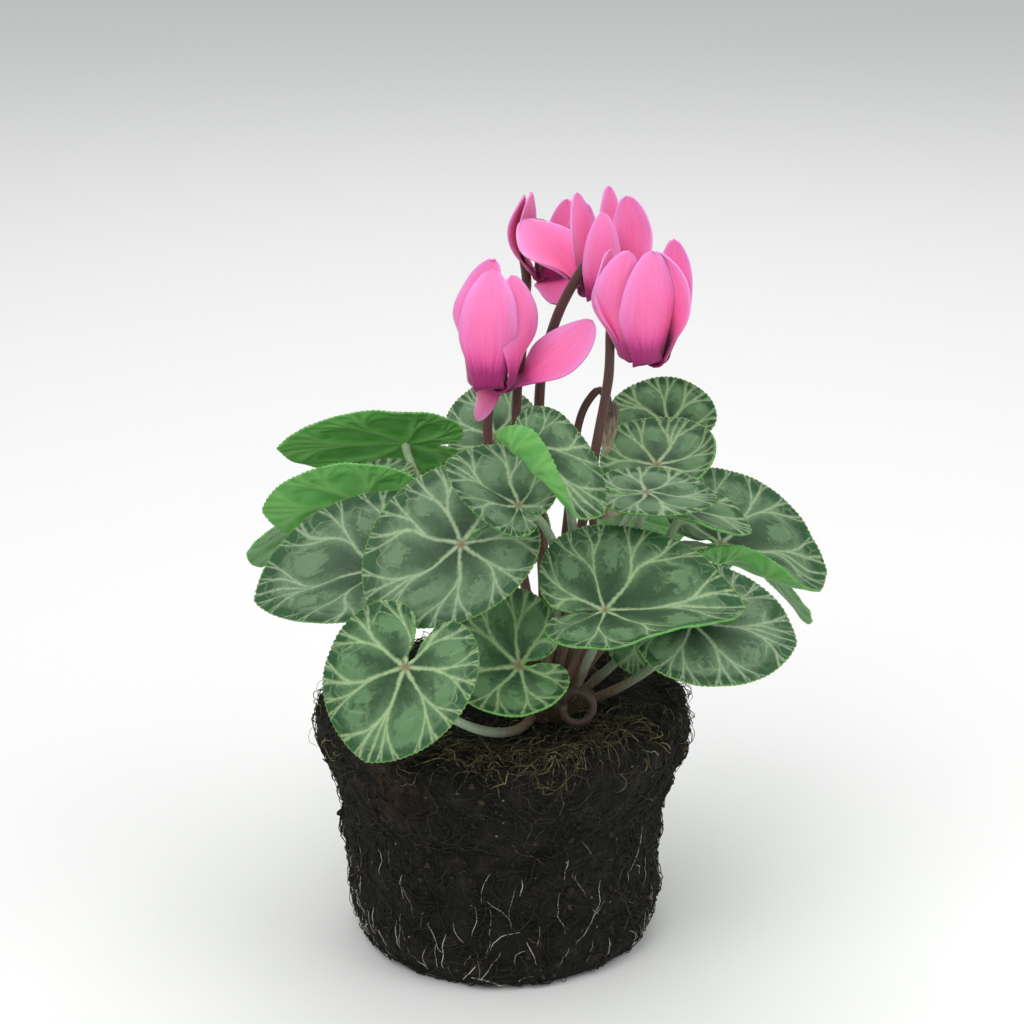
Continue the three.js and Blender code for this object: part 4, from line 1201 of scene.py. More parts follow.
        def place(across: Array, along: Array) -> Formed:
            """Points for places on a square that is drawn out to the blade's disc."""
            way, share = self.disc(across, along)
            phase = np.interp(way, ways, travel) / travel[-1] * teeth
            swing = 1 - 2 * np.abs(2 * (phase % 1) - 1) ** self.tooth_point
            uneven = 1 + self.tooth_uneven[0] * noise.along(phase, self.tooth_uneven[1])
            fade = share**self.tooth_fade
            tooth = self.tooth_depth * swing * uneven * fade / leaf.size
            x, y, even_x, even_y = self.flat_place(leaf, way, share, tooth).T
            level = np.full_like(even_x, 7.0 * number)  # each leaf reads its noise at a height of its own
            spot = beside(even_x, even_y, level)
            drawn = self.relief.warp(noise, spot, share)
            reach = np.hypot(drawn[:, 0], drawn[:, 1])
            vein = self.veins.distance(drawn[:, 0], drawn[:, 1], share)
            step = 0.2  # between points from which the way out of the face is taken
            run = self.point(leaf, x + step, y) - self.point(leaf, x - step, y)
            rise = self.point(leaf, x, y + step) - self.point(leaf, x, y - step)
            out = unit(np.cross(run, rise))
            height = self.relief.height(noise, spot, share, vein, swing * fade)
            points = self.point(leaf, x, y) + out * height[:, None]
            pattern = np.concatenate([drawn, spot[:, 2:]], axis=-1)
            where = beside(share, reach, np.full_like(x, leaf.tone))
            return points, {"pattern": pattern, "place": where}

        piece = shaped_grid(f"blade_{number:02d}", self.cells, self.cells, place)
        for finish in finishes:
            piece.data.materials.append(finish)
        give_thickness(piece, self.thickness, slots=1)
        hand_over(piece, [f"leaf_{number:02d}"])

    def stalk(self, number: int, leaf: Leaf, finish: Finish) -> None:
        """Builds one leaf's stalk, from inside the tuber to the blade's underside.

        Args:
            number: The leaf's number.
            leaf: The leaf.
            finish: Its material.
        """
        ring, degrees = leaf.foot
        out = TUBER.crown_direction(ring, degrees)
        if leaf.slope < 90:
            out = level_direction(degrees) * math.cos(math.radians(leaf.slope))
            out = out + UP * math.sin(math.radians(leaf.slope))
        face = leaf.axes()[2]
        at, bow = np.array(leaf.at), np.array(leaf.bow)
        foot = TUBER.crown_point(ring, degrees) - out * self.stalk_sunk
        span = np.linalg.norm(at - foot)
        low = foot + out * span * self.stalk_rise + bow
        high = at - face * span * leaf.approach + bow
        curve = bezier(foot, low, high, at - face * self.stalk_stops)
        noise = Noise(self.seeds[1] + number)

        def radii(share: Array) -> Array:
            """Radius by share: stouter at the foot, slightly flared under the blade."""
            (stout, lost), (flare, start) = self.stalk_taper, self.stalk_flare
            taper = stout - lost * share + flare * smooth(share, start, 1.0)
            uneven, pitch = self.stalk_uneven
            return self.stalk_radius * (taper + uneven * noise.along(share * 60, pitch))

        piece = tube(f"petiole_{number:02d}", curve, radii, *self.stalk_faces)
        hand_over(piece, [f"leaf_stalk_{number:02d}"], [finish])

    def build(self) -> None:
        """Builds every leaf."""
        finishes = [MarbledBlade(self.veins).material(), BladeUnderside(self.veins).material()]
        shades = {0.0: "#6a4b42", 0.22: "#83705f", 0.45: "#85937a", 0.8: "#8aa080", 1.0: "#93ad80"}
        skin = StalkSkin("leaf_stalk_skin", shades).material()
        for number, leaf in enumerate(self.leaves, 1):
            self.blade(number, leaf, finishes)
            self.stalk(number, leaf, skin)


# ---------------------------------------------------------------- flowers


@dataclass(frozen=True)
class Petal:
    """One petal. Degrees and millimetres.

    side is where it leaves the mouth; lift, how far it is thrown back from level; arch, how far it bends on
    along its length; twist, its turn about its own midline; cup, how far it is hollowed.
    """

    side: float
    lift: float
    arch: float
    twist: float
    length: float
    width: float
    cup: float


@dataclass(frozen=True)
class Bloom:
    """One flower: its mouth faces down, and its petals turn back over the mouth's edge. Millimetres."""

    mouth: Place
    axis: Place
    hook: float  # the side from which the stalk comes over
    foot: Pair
    route: Sequence[Place]
    petals: Sequence[Petal]

    def axes(self) -> tuple[Array, Array, Array]:
        """The flower's axis, from mouth to calyx, its right and its front."""
        axis = unit(np.array(self.axis))
        right = unit(np.array([1.0, 0.0, 0.0]) - axis * axis[0])
        return axis, right, np.cross(right, axis)

    def outward(self, degrees: float) -> Array:
        """Direction away from the axis at an angle round it."""
        _, right, front = self.axes()
        return front * math.cos(math.radians(degrees)) + right * math.sin(math.radians(degrees))


@dataclass(frozen=True)
class Flowers:
    """All the open flowers with their stalks. Lengths are in millimetres, faces are counted round and along."""

    blooms: Sequence[Bloom]
    stalk_radius: float = 1.6
    stalk_sunk: float = 5.0
    stalk_taper: Pair = (1.04, 0.14)  # of the radius, at the foot and lost by the head
    stalk_uneven: Pair = (0.05, 8.0)  # of the radius, and the pitch for a length of 150
    stalk_faces: tuple[int, int] = (16, 120)
    stalk_seed: int = 300
    hook: Outline = ((9.5, 0.5), (5.6, 4.8), (0.8, 3.4))  # out and up from the calyx's top
    cup: Outline = (
        (0, 8.2), (2, 8.2), (2.8, 5.2), (2.9, 1.6), (3.3, 1.05), (3.9, 1), (4.6, 1.8),
        (4.8, 5.2), (4.5, 7.4), (3.9, 8.7), (2.9, 9.5), (0, 9.5),
    )  # fmt: skip
    cup_length: float = 9.5
    cup_shade: float = 0.12  # share along a petal whose colour it has
    cup_faces: tuple[int, int] = (40, 44)
    gap: float = 0.35  # between cup and calyx
    calyx: Outline = ((0, 0), (2.6, 0), (3.1, 0.5), (2.9, 1.5), (1.9, 2.7), (1.0, 3.2), (0, 3.4))
    calyx_height: float = 3.0
    calyx_shade: float = 0.985  # share along a stalk whose colour it has
    calyx_faces: tuple[int, int] = (30, 16)
    sepals: int = 5
    sepal_line: Outline = ((1.6, 12.4), (3.4, 10.9), (4.9, 8.6), (5.4, 6.4), (5.7, 3.8))  # out and up
    sepal_half: float = 1.9  # half its width
    sepal_hollow: float = 0.09  # how far it sinks at 1 mm from its middle
    sepal_shade: float = 0.97
    sepal_thickness: float = 0.4
    sepal_faces: tuple[int, int] = (6, 12)
    petal_thickness: float = 0.5
    petal_faces: tuple[int, int] = (20, 56)
    wave: Pair = (0.9, 8.0)  # height and pitch
    wave_zone: Pair = (0.2, 0.7)  # shares of the length between which it grows
    middle_wave: float = 0.25  # share of it that the midline has
    rib: Pair = (0.12, 1.3)  # height and pitch
    rib_zone: Pair = (0.1, 0.4)
    rib_stretch: float = 0.15  # pitch across against pitch along
    fold: float = 1.9  # radius at which it turns over the mouth's edge
    fold_at: float = 3.1  # its root's distance from the axis
    root_at: float = 1.9  # its root's height over the mouth
    base_width: float = 9.0
    widens: Pair = (0.06, 0.5)  # shares of the length between which it reaches its width
    tip_from: float = 0.42  # share at which it starts to narrow
    tip_reach: float = 2.2
    tip_round: float = 0.75
    tip_width: float = 0.1  # share of the width that is left until just before the end
    tip_end: float = 0.02  # share over which that closes
    layer: float = 10.0  # degrees that each petal tucks under the next at the mouth
    free: Pair = (0.12, 0.75)  # shares between which it parts from the mouth's ring

    def half_width(self, petal: Petal, share: Array) -> Array:
        """Half a petal's width: narrow at the mouth, broad past the middle, blunt.

        Args:
            petal: The petal.
            share: Shares of its length.

        Returns:
            Millimetres.
        """
        width = self.base_width + (petal.width - self.base_width) * smooth(share, *self.widens)
        past = np.clip((share - self.tip_from) / (1 - self.tip_from), 0, 1)
        tip = (1 - past**self.tip_reach) ** self.tip_round
        blunt = self.tip_width * np.sqrt(np.clip((1 - share) / self.tip_end, 0, 1))
        return width / 2 * (blunt + (1 - self.tip_width) * tip)

    def midline(self, petal: Petal, travel: Array) -> tuple[Array, Array, Array]:
        """A petal's midline, which leaves the cup downwards, turns over the mouth's edge and runs back up.

        Args:
            petal: The petal.
            travel: Distances from its root.

        Returns:
            Radius from the axis, height over the mouth, and heading in radians from level outwards.
        """
        turn = math.radians(90 + petal.lift)
        turned_by = np.minimum(travel / self.fold, turn)
        radius = self.fold_at + self.fold * (1 - np.cos(turned_by))
        height = self.root_at - self.fold * np.sin(turned_by)
        start = turned_by - math.pi / 2
        bend = math.radians(petal.arch or ALMOST) / petal.length
        heading = start + bend * np.maximum(travel - self.fold * turn, 0)
        radius = radius + (np.sin(heading) - np.sin(start)) / bend
        height = height - (np.cos(heading) - np.cos(start)) / bend
        return radius, height, heading

    def petal_points(self, bloom: Bloom, petal: Petal, share: Array, across: Array) -> Array:
        """Points of a petal's middle surface.

        Args:
            bloom: Its flower.
            petal: The petal.
            share: Shares of its length.
            across: Places across it, -1 to 1.

        Returns:
            One point for each pair of values.
        """
        axis = bloom.axes()[0]
        out = bloom.outward(petal.side)
        radius, height, heading = self.midline(petal, share * petal.length)
        sine, cosine = np.sin(heading)[:, None], np.cos(heading)[:, None]
        inner, ahead = -out * sine + axis * cosine, out * cosine + axis * sine
        side = np.cross(inner, ahead)
        free = smooth(share, *self.free)
        twist = np.radians(self.layer + (petal.twist - self.layer) * free)[:, None]
        turned_side = side * np.cos(twist) + inner * np.sin(twist)
        turned_inner = inner * np.cos(twist) - side * np.sin(twist)
        ring = np.sin(heading) / np.maximum(radius, 1)
        curl = ring * (1 - free) + math.radians(petal.cup) / (petal.width / 2) * free
        curl = np.where(curl == 0, ALMOST, curl)
        angle = across * self.half_width(petal, share) * curl
        return (
            np.array(bloom.mouth)
            + out * radius[:, None]
            + axis * height[:, None]
            + turned_side * (np.sin(angle) / curl)[:, None]
            + turned_inner * ((1 - np.cos(angle)) / curl)[:, None]
        )

    def petal_piece(self, bloom: Bloom, petal: Petal, seed: int) -> Piece:
        """One petal as a thin closed sheet with a gently waved edge.

        Args:
            bloom: Its flower.
            petal: The petal.
            seed: For its own unevenness, and part of its name.

        Returns:
            The sheet.
        """
        noise = Noise(seed)

        def place(across: Array, along: Array) -> Formed:
            """Points for shares across the petal and along it."""
            side, share = 2 * across - 1, along
            step = 0.01  # between places from which the way out of the face is taken
            run = self.petal_points(bloom, petal, np.minimum(share + step, 0.999), side)
            run = run - self.petal_points(bloom, petal, np.maximum(share - step, 0), side)
            rise = self.petal_points(bloom, petal, share * 0.98, side + step)
            rise = rise - self.petal_points(bloom, petal, share * 0.98, side - step)
            out = unit(np.cross(run, rise))
            level = np.full_like(side, 11.0 * seed)  # each petal reads its noise at a height of its own
            spot = beside(side * petal.width / 2, share * petal.length, level)
            high, pitch = self.wave
            wave = high * noise.at(spot, pitch) * smooth(share, *self.wave_zone)
            wave = wave * (self.middle_wave + (1 - self.middle_wave) * side**2)
            high, pitch = self.rib
            rib = high * noise.at(spot * (1.0, self.rib_stretch, 1.0), pitch) * smooth(share, *self.rib_zone)
            points = self.petal_points(bloom, petal, share, side) + out * (wave + rib)[:, None]
            return points, {"petal": beside(share, side, np.full_like(side, seed % 50 + 0.5))}

        piece = shaped_grid(f"petal_{seed}", *self.petal_faces, place)
        give_thickness(piece, self.petal_thickness)
        return piece

    def corolla(self, number: int, bloom: Bloom, finish: Finish) -> None:
        """Builds a flower's cup and five petals as one piece.

        Args:
            number: The flower's number.
            bloom: The flower.
            finish: Its material.
        """
        cup = turned("cup", self.cup, *self.cup_faces, np.array(bloom.mouth), bloom.axes()[0])
        eye = np.zeros(len(cup.data.vertices) * 3)
        eye[0::3], eye[2::3] = self.cup_shade, number
        add_facts(cup, {"petal": eye})
        petals = [self.petal_piece(bloom, petal, 10 * number + i) for i, petal in enumerate(bloom.petals)]
        piece = join_pieces(f"petals_{number}", [cup, *petals])
        hand_over(piece, [f"corolla_{number}"], [finish])

    def stalk_curve(self, bloom: Bloom) -> Array:
        """A flower stalk's middle line: out of the crown, along its route and over the calyx.

        Args:
            bloom: The flower.

        Returns:
            Dense points.
        """
        out, crown = TUBER.crown_direction(*bloom.foot), TUBER.crown_point(*bloom.foot)
        axis, over = bloom.axes()[0], bloom.outward(bloom.hook)
        top = np.array(bloom.mouth) + axis * (self.cup_length + self.calyx_height)
        bends = [top + over * aside + axis * up for aside, up in self.hook]
        corners = [crown - out * self.stalk_sunk, crown + out * self.stalk_sunk]
        return threaded_curve([*corners, *map(np.array, bloom.route), *bends, top])

    def sepal(self, bloom: Bloom, degrees: float) -> Piece:
        """One pointed sepal, which lies on the cup.

        Args:
            bloom: Its flower.
            degrees: Its side of the flower.

        Returns:
            The sepal.
        """
        axis, out = bloom.axes()[0], bloom.outward(degrees)
        side = np.cross(axis, out)
        columns, rows = self.sepal_faces
        line = even_points(np.array(self.sepal_line), np.linspace(0, 1, rows + 1))

        def place(across: Array, along: Array) -> Formed:
            """Points for shares across the sepal and along it."""
            radius, height = line[np.round(along * rows).astype(int)].T
            half = self.sepal_half * np.sqrt(np.clip(1 - along, 0, 1)) * (0.75 + 0.6 * along) + 0.05
            width = half * (2 * across - 1)
            points = np.array(bloom.mouth) + out * (radius - self.sepal_hollow * width**2)[:, None]
            points = points + axis * height[:, None]
            points = points + side * width[:, None]
            return points, {"stalk": beside(np.full_like(along, self.sepal_shade), height, radius)}

        piece = shaped_grid("sepal", columns, rows, place)
        give_thickness(piece, self.sepal_thickness)
        return piece

    def stalk(self, number: int, bloom: Bloom, finish: Finish) -> None:
        """Builds a flower's stalk and calyx as one piece.

        Args:
            number: The flower's number.
            bloom: The flower.
            finish: Its material.
        """
        noise = Noise(self.stalk_seed + number)

        def radii(share: Array) -> Array:
            """Radius by share, a little less towards the head."""
            (stout, lost), (uneven, pitch) = self.stalk_taper, self.stalk_uneven
            return self.stalk_radius * (stout - lost * share + uneven * noise.along(share * 150, pitch))

        bar = tube("bar", self.stalk_curve(bloom), radii, *self.stalk_faces)
        base = np.array(bloom.mouth) + bloom.axes()[0] * (self.cup_length + self.gap)
        dome = turned("dome", self.calyx, *self.calyx_faces, base, bloom.axes()[0])
        reshade(dome, lambda share: share * 0 + self.calyx_shade)
        sector = 360.0 / self.sepals
        sepals = [self.sepal(bloom, sector * i + sector / 2) for i in range(self.sepals)]
        piece = join_pieces(f"scape_{number}", [bar, dome, *sepals])
        hand_over(piece, [f"flower_stalk_{number}"], [finish])

    def build(self) -> None:
        """Builds every flower."""
        shades = {
            0.0: "#7d0f52", 0.16: "#9c1d68", 0.23: "#a52870", 0.28: "#c43d88", 0.36: "#e65aa3",
            0.46: "#f271b1", 0.66: "#f67cba", 1.0: "#f287c6",
        }  # fmt: skip
        tissue = PetalTissue(shades).material()
        shades = {0.0: "#7b5a50", 0.25: "#6b463e", 0.55: "#563630", 0.9: "#4a2d29", 1.0: "#55402f"}
        skin = StalkSkin("flower_stalk_skin", shades).material()
        for number, bloom in enumerate(self.blooms, 1):
            self.corolla(number, bloom, tissue)
            self.stalk(number, bloom, skin)


# ---------------------------------------------------------------- buds


@dataclass(frozen=True)
class Bud:
    """A closed flower on its stalk. Lengths are in millimetres."""

    node: str
    name: str
    foot: Pair
    stalk_radius: float
    radius: float
    route: Sequence[Place]
    tip: Place
    colours: Ramp
    outline: Outline = (
        (0, -0.02), (0.4, -0.01), (0.62, 0.03), (0.95, 0.16), (1, 0.34),
        (0.8, 0.62), (0.42, 0.88), (0.14, 0.975), (0, 1),
    )  # fmt: skip
    sunk: float = 5.0
    stalk_taper: Pair = (1.05, 0.12)  # of the radius, at the foot and lost by the head
    stalk_faces: tuple[int, int] = (14, 90)
    stalk_shades: float = 0.6  # share of the colours that the stalk takes up
    bud_shades: Pair = (0.66, 0.34)  # where the bud's begin, and how far they run
    folds: int = 5
    winding: float = 1.6  # turns that the folds make from base to tip
    fold_height: float = 0.09  # share of the radius
    fold_depth: float = 0.06
    faces: tuple[int, int] = (50, 40)

    def build(self) -> None:
        """Builds the stalk and the spirally folded bud as one piece."""
        out, crown = TUBER.crown_direction(*self.foot), TUBER.crown_point(*self.foot)
        curve = threaded_curve([crown - out * self.sunk, crown + out * self.sunk, *map(np.array, self.route)])
        stout, lost = self.stalk_taper
        bar = tube("bar", curve, lambda share: self.stalk_radius * (stout - lost * share), *self.stalk_faces)
        reshade(bar, lambda share: share * self.stalk_shades)
        base, tip = np.array(self.route[-1]), np.array(self.tip)
        length = np.linalg.norm(tip - base)
        axis = (tip - base) / length
        right = unit(np.cross([0.0, 1.0, 0.0], axis))
        columns, rows = self.faces
        ring = even_points(np.array(self.outline) * (self.radius, length), np.linspace(0, 1, rows + 1))

        def place(across: Array, along: Array) -> Formed:
            """Points for shares round the bud, whose folded petals wind about it, and along it."""
            radius, height = ring[np.round(along * rows).astype(int)].T
            turn = 2 * math.pi * across
            wind = self.folds * turn + self.winding * height / length * 2 * math.pi
            radius = radius * (1 + self.fold_height * np.abs(np.sin(wind / 2)) - self.fold_depth)
            away = np.cos(turn)[:, None] * right + np.sin(turn)[:, None] * np.cross(axis, right)
            spots = base + axis * height[:, None] + away * radius[:, None]
            start, run = self.bud_shades
            return spots, {"stalk": beside(start + run * height / length, height, radius)}

        bud = shaped_grid("bud", columns, rows, place)
        close_seams(bud)
        piece = join_pieces(self.name, [bar, bud])
        hand_over(piece, [self.node], [StalkSkin(self.name + "_skin", self.colours).material()])


@dataclass(frozen=True)
class CoiledStalk:
    """A young flower stalk that is still wound up just over the peat. Millimetres and degrees."""

    foot: Pair = (12.3, 0.0)
    rise: float = 2.0
    radius: float = 1.2
    taper: Pair = (1.08, 0.2)
    centre: Place = (22.5, -27.0, 87.0)
    ring_radius: float = 4.6
    start: float = 200.0
    turn: float = -400.0
    drift: float = 5.0
    corners: int = 12
    sunk: float = 5.0
    faces: tuple[int, int] = (14, 120)

    def build(self) -> None:
        """Builds the stalk and dresses it."""
        out, crown = TUBER.crown_direction(*self.foot), TUBER.crown_point(*self.foot)
        corners = [crown - out * self.sunk, crown + out * self.rise]
        for share in np.linspace(0, 1, self.corners + 1):
            angle = math.radians(self.start + share * self.turn)
            ring = np.array([math.cos(angle), 0.0, math.sin(angle)]) * self.ring_radius
            corners.append(np.array(self.centre) + ring - np.array([0.0, self.drift * share, 0.0]))
        stout, lost = self.taper
        curve = threaded_curve(corners)
        piece = tube("wound_stalk", curve, lambda share: self.radius * (stout - lost * share), *self.faces)
        # a darker brown than the other stalks: partly its own colour, partly painted shade for the shadow it
        # lies in under the leaves
        skin = StalkSkin("young_stalk_skin_and_painted_shade", {0.0: "#40302a", 0.5: "#43312b", 1.0: "#574438"})
        hand_over(piece, ["coiled_stalk"], [skin.material()])


# ---------------------------------------------------------------- root ball


@dataclass(frozen=True)
class Lumps:
    """One size of lumps on the peat, in millimetres."""

    height: float
    pitch: float
    shift: float = 0.0  # sets the uses of one noise apart
    crested: bool = False  # ridges that stand out, instead of rises and hollows


@dataclass(frozen=True)
class RootBall:
    """The pot-shaped ball of rooted peat with its roots, moss and crumbs. Lengths are in millimetres."""

    outline: Outline = (
        (0, 0), (43, 0), (45.5, 1.8), (48.4, 7), (50.8, 48), (53.5, 54), (55.6, 60.5), (57.5, 67),
        (58.5, 72), (58, 74.8), (56.2, 76.9), (53.5, 78.4), (50.7, 79), (0, 79),
    )  # fmt: skip
    flat: float = 43.0  # travel along the outline to the edge of the base
    shoulder: float = 128.4  # the same to where the top starts
    sides: int = 380
    rows: tuple[int, int, int] = (8, 88, 40)  # of the base, the wall and the top
    waves: Sequence[Place] = ((3, 1.7, 0), (7, -2.9, 1.3), (5, 4.1, 2.6))  # round it, up it and phase
    wall_swell: Pair = (1.1, 0.09)  # height, and how fast it changes upwards
    top_swell: Pair = (0.8, 0.11)
    lumps: Sequence[Lumps] = (
        Lumps(0.5, 13.0), Lumps(0.55, 5.5, 50.0), Lumps(0.4, 2.6, 90.0, crested=True), Lumps(0.22, 1.2, 130.0),
    )  # fmt: skip
    lumpy: Pair = (1.5, 1.3)  # by how much on the wall and on the top
    wall_sunk: float = 0.4
    wall_grows: float = 12.0  # travel over which the wall's unevenness starts
    top_grows: float = 8.0
    thread_sunk: float = 0.15
    thread_floor: float = 0.4  # the lowest that a thread's middle may lie
    old_roots: int = 2600
    young_roots: int = 170
    fibres: int = 1600
    tufted: float = 0.55  # share of the fibres that lie in tufts
    tufts: Sequence[Place] = (  # angle round the ball, travel from 14 mm under the shoulder, spread in degrees
        (-44.0, 22.0, 9.0), (-96.0, 20.0, 10.0), (-70.0, 16.0, 8.0), (150.0, 14.0, 8.0), (60.0, 18.0, 8.0),
    )  # fmt: skip
    loose: int = 2600  # crumbs
    noise: Noise = field(default_factory=lambda: Noise(7))  # its own unevenness
    seeds: tuple[int, int, int] = (11, 12, 13)  # of the roots, the moss and the crumbs

    def swell(self, angle: Array, other: Array) -> Array:
        """The ball's large unevenness, from -1 to 1."""
        return sum(np.sin(angle * turns + other * share + phase) for turns, share, phase in self.waves) / 3

    @property
    def length(self) -> float:
        """Travel along the whole outline."""
        return float(np.linalg.norm(np.diff(np.array(self.outline, float), axis=0), axis=1).sum())

    def clods(self, spots: Array) -> Array:
        """Height of all the lumps.

        Args:
            spots: Points of the smooth form.

        Returns:
            One height for each point.
        """
        total = np.zeros(len(spots))
        for lumps in self.lumps:
            values = self.noise.at(spots + lumps.shift, lumps.pitch)
            total = total + lumps.height * (np.abs(values) if lumps.crested else values)
        return total

    def surface(self, angle: Array, travel: Array) -> tuple[Array, Array]:
        """The ball's surface.

        Args:
            angle: Angles round it in radians, 0 at +X.
            travel: Travel along the outline from the middle of the base.

        Returns:
            Points and the directions away from the smooth form.
        """
        outline, step = np.array(self.outline, float), 1.5
        ahead = even_points(outline, np.clip((travel + step) / self.length, 0, 1))
        behind = even_points(outline, np.clip((travel - step) / self.length, 0, 1))
        radius, height = even_points(outline, np.clip(travel / self.length, 0, 1)).T
        run = unit(ahead - behind)
        level = beside(np.cos(angle), np.sin(angle), np.zeros_like(angle))
        out = level * run[:, 1:] - UP * run[:, :1]
        smooth_form = level * radius[:, None] + UP * height[:, None]
        over = smooth(travel, self.shoulder - self.top_grows, self.shoulder)
        wall = smooth(travel, self.flat, self.flat + self.wall_grows) * (1 - over)
        top = over * smooth(radius, 0, 12)
        (wall_high, wall_turn), (top_high, top_turn) = self.wall_swell, self.top_swell
        large = wall * wall_high * self.swell(angle, height * wall_turn)
        large = large + top * top_high * (self.swell(angle, radius * top_turn) - 1)
        rough = self.clods(smooth_form) * (self.lumpy[0] * wall + self.lumpy[1] * top)
        points = smooth_form + out * (large + rough - self.wall_sunk * wall)[:, None]
        points[:, 2] = np.maximum(points[:, 2], 0.0)
        return points, out

    def ball(self) -> None:
        """Builds the ball itself and dresses it."""
        base_rows, wall_rows, top_rows = self.rows
        base = np.linspace(0, self.flat - 1, base_rows)
        wall = np.linspace(self.flat, self.shoulder, wall_rows)
        top = self.length - (self.length - self.shoulder - 1) * np.linspace(1, 0, top_rows) ** 1.1
        travel = np.concatenate([base, wall, top])

        def place(across: Array, along: Array) -> Formed:
            """Points for shares round the ball and of its rows."""
            row = np.round(along * (len(travel) - 1)).astype(int)
            return self.surface(2 * math.pi * (across % 1.0), travel[row])[0], {}

        piece = shaped_grid("peat_ball", self.sides, len(travel) - 1, place)
        close_seams(piece)
        hand_over(piece, ["root_ball"], [RootedPeat().material()])

    def walk(
        self, rng: np.random.Generator, start: Array, heading: Array, length: Array, lift: Array,
        wander: float, steps: int = 8,
    ) -> Array:  # fmt: skip
        """Lets threads run over the ball.

        Args:
            rng: Seeded chance.
            start: Rows of angle and travel.
            heading: Directions, 0 round the ball and 90 degrees up it, in radians.
            length: Lengths in millimetres.
            lift: How far each one's middle stands off.
            wander: Spread of the turns from step to step.
            steps: Stretches of each thread.

        Returns:
            For each thread its points.
        """
        angle, travel = start.T.copy()
        points = []
        for i in range(steps + 1):
            spot, out = self.surface(angle, travel)
            share = i / steps
            points.append(spot + out * (lift * 4 * share * (1 - share) - self.thread_sunk)[:, None])
            radius = np.maximum(np.hypot(spot[:, 0], spot[:, 1]), 4)
            angle = angle + np.cos(heading) * length / steps / radius
            travel = np.clip(travel + np.sin(heading) * length / steps, self.flat - 2, self.length - 2)
            heading = heading + rng.normal(0, wander, len(heading))
        paths = np.stack(points, axis=1)
        paths[..., 2] = np.maximum(paths[..., 2], self.thread_floor)
        return paths

    def threads(self, name: str, paths: Array, radius: Array, shade: Array, finish: Finish) -> None:
        """Builds many fine closed three-sided threads as one mesh, which no primitive gives at this number.

        Args:
            name: The piece's name.
            paths: For each thread the points of its middle line.
            radius: For each its radius.
            shade: For each its place on the material's ramp.
            finish: The material.
        """
        count, stations, _ = paths.shape
        along = unit(np.gradient(paths, axis=1) + 1e-6)
        side = unit(np.cross(along, OFF_THREAD))
        other = np.cross(along, side)
        thick = radius[:, None] * (1 - 0.75 * np.abs(np.linspace(-1, 1, stations)) ** 3)[None, :]
        turns = [0, 2 * math.pi / 3, 4 * math.pi / 3]
        edges = [paths + thick[..., None] * (math.cos(t) * side + math.sin(t) * other) for t in turns]
        points = np.stack(edges, axis=2)
        points[..., 2] = np.maximum(points[..., 2], 0.0)
        first = np.arange(count)[:, None, None] * stations * 3 + np.arange(stations - 1)[None, :, None] * 3
        ring = first + np.arange(3)[None, None, :]
        ahead = first + np.roll(np.arange(3), -1)[None, None, :]
        quads = beside(ring, ahead, ahead + 3, ring + 3).reshape(-1, 4)
        start = np.arange(count) * stations * 3
        end = start + (stations - 1) * 3
        caps = [beside(start, start + 2, start + 1), beside(end, end + 1, end + 2)]
        mesh = bpy.data.meshes.new(name)
        faces = quads.tolist() + np.concatenate(caps).tolist()
        mesh.from_pydata((points.reshape(-1, 3) * MM).tolist(), [], faces)
        piece = bpy.data.objects.new(name, mesh)
        bpy.context.scene.collection.objects.link(piece)
        shades = np.repeat(shade, stations * 3)
        share = np.tile(np.repeat(np.linspace(0, 1, stations), 3), count)
        add_facts(piece, {"strand": beside(shades, share, share * 0)})
        hand_over(piece, ["root_ball"], [finish])

    def roots(self) -> None:
        """Builds the dark mat of old roots, mostly round the wall, and the pale young ones low on it."""
        rng = np.random.default_rng(self.seeds[0])
        count = self.old_roots
        bark = Strand("old_root_bark", {0.0: "#070604", 0.5: "#13110b", 0.85: "#2d2918", 1.0: "#5a5334"})
        angle = rng.uniform(0, 2 * math.pi, count)
        start = beside(angle, rng.uniform(self.flat + 1, self.shoulder, count))
        heading = rng.choice([0, math.pi], count) + rng.normal(0, 0.9, count)
        length, lift = rng.uniform(5, 20, count), rng.uniform(0.2, 1.6, count)
        paths = self.walk(rng, start, heading, length, lift, 0.5)
        thick, shade = rng.uniform(0.10, 0.24, count), rng.beta(2, 3, count)
        self.threads("root_mat", paths, thick, shade, bark.material())
        count = self.young_roots
        skin = Strand("young_root_skin", {0.0: "#5d5a4e", 0.45: "#8d8a7c", 1.0: "#c9c7bb"}, 0.6)
        low = self.flat + 3 + 48 * rng.beta(0.8, 2.4, count)
        start = beside(rng.uniform(0, 2 * math.pi, count), low)
        heading = math.pi / 2 + rng.normal(0, 0.28, count)
        length, lift = 4 + 18 * rng.beta(1.2, 2.5, count), rng.uniform(0.3, 1.0, count)
        # the first is a stout one at the left of the foot
        start[0], heading[0], length[0] = (math.radians(-103), self.flat + 6), 0.12, 21
        paths = self.walk(rng, start, heading, length, lift, 0.22)
        thick = rng.uniform(0.10, 0.2, count)
        thick[0] = 0.5
        self.threads("young_roots", paths, thick, rng.uniform(0, 1, count), skin.material())

